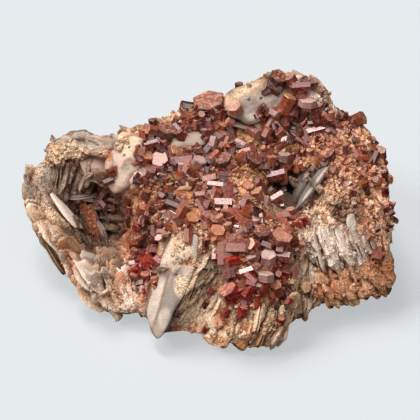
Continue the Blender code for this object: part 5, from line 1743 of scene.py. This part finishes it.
class Shader:
    """The node tree of one material."""

    def __init__(self, name: str) -> None:
        """Start a material with a Principled shader."""
        self.material = bpy.data.materials.new(name)
        self.material.use_nodes = True
        self.nodes, self.links = self.material.node_tree.nodes, self.material.node_tree.links
        self.surface = self.nodes["Principled BSDF"]
        self.place = self.node("ShaderNodeTexCoord", {}, {}, "Object")

    def feed(self, node: bpy.types.Node, key: int | str, value: object) -> None:
        """Set an input of a node to a number or colour, or link a wire to it."""
        if isinstance(value, Wire):
            self.links.new(value.socket, node.inputs[key])
        elif isinstance(value, tuple) and len(value) == 3 and node.inputs[key].type == "RGBA":
            node.inputs[key].default_value = (*value, 1.0)
        else:
            node.inputs[key].default_value = value

    def node(self, kind: str, settings: dict, inputs: dict, output: int | str = 0) -> Wire:
        """Add a node.

        Args:
            kind: its type.
            settings: its properties by name.
            inputs: numbers, colours or wires for its sockets, by name or number.
            output: the socket it is read from.

        Returns:
            The wire from that socket.
        """
        node = self.nodes.new(kind)
        for name, value in settings.items():
            setattr(node, name, value)
        for key, value in inputs.items():
            self.feed(node, key, value)
        return Wire(self, node.outputs[output])

    def attribute(self, name: str, output: str) -> Wire:
        """An attribute of the mesh."""
        return self.node("ShaderNodeAttribute", {"attribute_name": name}, {}, output)

    def noise(self, size: float, detail: float = 3.0, rough: float = 0.55) -> Wire:
        """Noise from 0 to 1 with features of a size in metres."""
        return self.node("ShaderNodeTexNoise", {}, {
            "Vector": self.place, "Scale": 1 / size, "Detail": detail, "Roughness": rough}, 0)

    def cells(self, size: float) -> Wire:
        """Distance to the nearest of scattered points a size apart, from 0 up."""
        return self.node("ShaderNodeTexVoronoi", {}, {"Vector": self.place, "Scale": 1 / size}, "Distance")

    def finish(self, inputs: dict) -> bpy.types.Material:
        """Feed the Principled shader and return the material."""
        for key, value in inputs.items():
            self.feed(self.surface, key, value)
        return self.material

    def bump(self, height: Wire, strength: float, distance: float) -> Wire:
        """A normal bent by a height."""
        return self.node("ShaderNodeBump", {}, {"Height": height, "Strength": strength, "Distance": distance})


@dataclass(frozen=True)
class StoneFinish:
    """Baryte: the mesh's own tint, broken into pale, rusty and dark grains where it is gritty."""

    rough: float = 0.8
    waxy: float = 0.42
    grain: float = 0.55 * MM
    relief: float = 0.4 * MM
    warmth: tuple[float, float, float] = (1.03, 0.97, 0.93)

    def material(self) -> bpy.types.Material:
        """The finished material."""
        shader = Shader("baryte_finish")
        fine, broad = shader.noise(0.3 * MM, 3.0, 0.6), shader.noise(2.6 * MM)
        grit = shader.attribute("tint", "Alpha").ramp(0.1, 0.9)
        edges = shader.cells(self.grain)
        speck = shader.noise(0.7 * MM, 4.0, 0.7)
        tint = shader.attribute("tint", "Color")
        # Darker towards the cell edges, where the bump sinks between grains: painted shade in the gaps.
        rough_tone = 0.3 + fine * 1.3 + broad * 0.5 - edges.ramp(0.35, 0.75) * 0.5
        smooth_tone = 0.74 + fine * 0.16 + broad * 0.36
        tint = tint.scaled(smooth_tone + (rough_tone - smooth_tone) * grit)
        tint = tint.tinted(self.warmth)
        rust = shader.noise(1.9 * MM, 4.0, 0.6).ramp(0.5, 0.72)
        tint = tint.toward(tuple(ORANGE.rgb), rust * (0.1 + grit * 0.3))
        tint = tint.toward(tuple(CREAM.rgb), speck.ramp(0.56, 0.68) * grit * grit * 0.45)
        tint = tint.toward(tuple(UMBER.rgb * 0.15), (1.0 - speck).ramp(0.52, 0.64) * grit * grit * 0.75)
        rough = self.waxy + grit * (self.rough - self.waxy)
        height = fine * 0.5 + edges * -0.9 * grit + broad * 0.8
        return shader.finish({
            "Base Color": tint, "Roughness": rough, "Metallic": 0.0, "Specular IOR Level": 0.4,
            "Normal": shader.bump(height, 0.9, self.relief),
        })


@dataclass(frozen=True)
class GemFinish:
    """Vanadinite: glossy sides, duller dusted ends, a faintly bumped skin."""

    gloss: float = 0.22
    dull: float = 0.4
    index: float = 2.0
    sheen: tuple[float, float, float, float] = (1.0, 0.86, 0.84, 1.0)

    def material(self) -> bpy.types.Material:
        """The finished material."""
        shader = Shader("vanadinite_finish")
        end = shader.attribute("end", "Fac")
        fine, dust = shader.noise(0.22 * MM, 3.0), shader.noise(0.8 * MM, 4.0, 0.7)
        tint = shader.attribute("tint", "Color").scaled(0.1 + fine * 0.4 + dust * 1.1)
        crust = dust.ramp(0.5, 0.62) * (0.14 + end * 0.5)
        tint = tint.toward(tuple(PEACH.rgb * 0.8), crust)
        rough = self.gloss + end * (self.dull - self.gloss) + dust.ramp(0.4, 0.75) * 0.22
        return shader.finish({
            "Base Color": tint, "Roughness": rough, "Metallic": 0.0, "IOR": self.index,
            "Specular Tint": self.sheen,
            "Normal": shader.bump(fine + dust, 0.5, 0.06 * MM),
        })


@dataclass(frozen=True)
class Studio:
    """Camera, pale floor and soft light.

    Attributes:
        distance: from the camera to the sheet's middle, in metres.
        view: width of the view there.
        sun: strength of the key light.
        sky: strength of the sky.
        wash: strength of the light that brightens the floor evenly.
        shade: strength of the lights that cast the specimen's shadow on it.
        reach: half the floor's width, in metres.
        gap: how far it lies under the foot.
        floor: the floor's colour.
    """

    distance: float = 1.5
    view: float = 0.105
    sun: float = 3.6
    sky: float = 0.15
    wash: float = 2.77
    shade: float = 1.3
    reach: float = 2.0
    gap: float = 0.00002
    floor: tuple[float, float, float] = (0.515, 0.537, 0.552)

    def camera(self) -> None:
        """A long lens that looks straight at the sheet."""
        lens = bpy.data.cameras.new("camera")
        lens.sensor_width, lens.lens = 36.0, 36.0 * self.distance / self.view
        lens.clip_start, lens.clip_end = 0.1, 10.0
        item = link("camera", lens)
        item.location = Vector(np.array(SHEET.point) + SHEET.out * self.distance)
        item.rotation_euler = (math.pi / 2 - SHEET.tilt, 0.0, 0.0)
        bpy.context.scene.camera = item

    def ground(self) -> None:
        """The floor."""
        mesh = bpy.data.meshes.new("floor")
        corners = ((-self.reach, -self.reach), (self.reach, -self.reach), (self.reach, self.reach),
                   (-self.reach, self.reach))
        mesh.from_pydata([(x, y, -self.gap) for x, y in corners], [], [(0, 1, 2, 3)])
        item = link("floor", mesh)
        item.visible_diffuse = item.visible_glossy = False
        shader = Shader("floor_finish")
        tone = shader.noise(0.5).ramp(0.0, 1.0) * 0.004 + 0.998
        colour = shader.node("ShaderNodeRGB", {}, {}, 0)
        colour.socket.default_value = (*self.floor, 1.0)
        mesh.materials.append(shader.finish({
            "Base Color": colour.scaled(tone), "Roughness": 0.9, "Specular IOR Level": 0.0}))
        item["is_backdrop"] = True

    def lights(self) -> None:
        """A broad light from above on the left, softer ones on the specimen alone, and an even sky."""
        specimen = bpy.data.collections.new("specimen")
        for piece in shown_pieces():
            specimen.objects.link(piece)
        ground = bpy.data.collections.new("ground")
        ground.objects.link(bpy.data.objects["floor"])
        for name, strength, angle, direction in (
            ("key", self.sun, 36, (-0.42, 0.20, 0.88)),
            ("wash", self.wash, 1, (0.0, 0.0, 1.0)),
            ("shade", self.shade, 22, (-0.25, 0.55, 0.80)),
            ("side shade", self.shade * 0.7, 26, (-0.75, 0.05, 0.66)),
            ("front", 0.75, 30, (-0.50, -0.70, 0.50)),
            ("right", 0.65, 26, (0.62, -0.40, 0.68)),
            ("glint", 1.2, 44, (-0.05, -0.2, 0.97)),
            ("left glint", 0.5, 34, (-0.80, -0.30, 0.52)),
        ):
            light = bpy.data.lights.new(name, "SUN")
            light.energy, light.angle = strength, math.radians(angle)
            item = link(name, light)
            item.rotation_euler = Vector(direction).to_track_quat("Z", "Y").to_euler()
            light.use_shadow = name != "wash"
            item.light_linking.receiver_collection = ground if name == "wash" or "shade" in name else specimen
        world = bpy.data.worlds.new("sky")
        world.use_nodes = True
        world.node_tree.nodes["Background"].inputs["Color"].default_value = (0.95, 0.98, 1.0, 1.0)
        world.node_tree.nodes["Background"].inputs["Strength"].default_value = self.sky
        world.cycles_visibility.glossy = False
        bpy.context.scene.world = world

    def build(self) -> None:
        """Set everything up."""
        self.camera()
        self.ground()
        self.lights()
        settings = bpy.context.scene.view_settings
        settings.view_transform, settings.look, settings.exposure = "Standard", "None", 0.0


def coarse_tree(core: Core, blades: list[tuple]) -> BVHTree:
    """Tree of the plain solids of the core and the blades."""
    work = bmesh.new()
    bmesh.ops.create_icosphere(work, subdivisions=4, radius=1.0)
    points = [*core.toward(unit(np.array([tuple(vert.co) for vert in work.verts])))]
    faces = [tuple(vert.index for vert in face.verts) for face in work.faces]
    work.free()
    for index, blade in enumerate(blades):
        more, sides = blade_solid(blade, index)
        faces += [tuple(int(corner) + len(points) for corner in side) for side in sides]
        points += [*more]
    return BVHTree.FromPolygons([Vector(point) for point in points], faces)


def fine_tree(items: list[bpy.types.Object]) -> BVHTree:
    """Tree of finished meshes."""
    points, faces = [], []
    for item in items:
        base = len(points)
        points += [vertex.co.copy() for vertex in item.data.vertices]
        faces += [tuple(corner + base for corner in polygon.vertices) for polygon in item.data.polygons]
    return BVHTree.FromPolygons(points, faces)


def face_grit(items: list[bpy.types.Object]) -> np.ndarray:
    """Grit of every face of some meshes, in the order that their tree has them."""
    grits = []
    for item in items:
        mesh, layer = item.data, item.data.attributes["tint"]
        starts = fetch(mesh.polygons, "loop_start", kind=np.int32)
        if layer.domain == "POINT":
            starts = fetch(mesh.loops, "vertex_index", kind=np.int32)[starts]
        grits.append(fetch(layer.data, "color", 4)[starts, 3])
    return np.concatenate(grits)


def grow_matrix(core: Core, frames: list[tuple]) -> list[bpy.types.Object]:
    """The matrix core, its blades and its shards as meshes, on a core.

    Args:
        core: the core.
        frames: filled with the frames of the blades, in the order of their solids.
    """
    pieces, leaves = [Matrix().build(core)], Leaves()
    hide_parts("baryte_matrix")
    groups = {name: Surface.empty() for name in ("front_leaves", "lumps", "rear_leaves")}
    plan = [(blade.frame(core), fan, True) for fan in FANS for blade in fan.blades()]
    plan += [(blade, Fan(1, None, None, RIB, SAND if at % 3 else CREAM, TAN), False)
             for at, blade in enumerate(rear_blades(core))]
    for index, (blade, fan, front) in enumerate(plan):
        frames.append(blade)
        form = fan.leaf.value
        group = groups["rear_leaves" if not front else "lumps" if form.leaves == 1 else "front_leaves"]
        for number in range(form.leaves):
            points, quads, caps, tint = leaves.leaf(blade, index, number, fan, core, front)
            group.add(points, [quads, caps], tint, grit=form.grit)
    pieces += [surface.make(name, by_face=False, rounded=True) for name, surface in groups.items()]
    return [*pieces, leaves.shards(fine_tree(pieces)).make("shards", by_face=True, rounded=False)]


def hand_over(item: bpy.types.Object, material: bpy.types.Material) -> None:
    """Give a piece its finish and its place on the specimen, and report it."""
    item.data.materials.append(material)
    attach(item, "root")
    LOG.info("%s: %d faces", item.name, len(item.data.polygons))


def main() -> None:
    """Build the matrix, its leaves, the crystals, the finishes and the studio."""
    logging.basicConfig(level=logging.INFO, format="%(message)s")
    core, frames = Core(), []
    stone, gem = StoneFinish().material(), GemFinish().material()
    pieces = grow_matrix(core, frames)
    growth = Growth(core, coarse_tree(core, frames), fine_tree(pieces), face_grit(pieces))
    crystals = growth.set_crystals()
    names = owners(crystals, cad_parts)
    for name in sorted({name for name in names if name}):
        picks = np.array([at for at, owner in enumerate(names) if owner == name])
        surface = Surface.empty()
        crystals.part(picks).draw(surface, bevel=0.05, seed=int(picks[0]))
        item = surface.make("fine_" + name, by_face=True, rounded=False)
        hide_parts(name)
        hand_over(item, gem)
    surface = Surface.empty()
    crystals.part(np.array([at for at, owner in enumerate(names) if owner is None])).draw(surface, 0.05, 77)
    growth.small_crystals(crystals).draw(surface, 0.0, 78)
    grown = surface.make("grown_crystals", by_face=True, rounded=False)
    grains = growth.grains().make("grains", by_face=True, rounded=False)
    relief = Relief(fine_tree([*pieces, grown, grains]))
    # Marks on the stone, then painted shade in the hollows of the stone and the crystals.
    for item in (*pieces, grains):
        relief.stain(item, 0.95)
        hand_over(item, stone)
    relief.stain(grown, 0.6)
    hand_over(grown, gem)
    Studio().build()


if __name__ == "__main__":
    main()
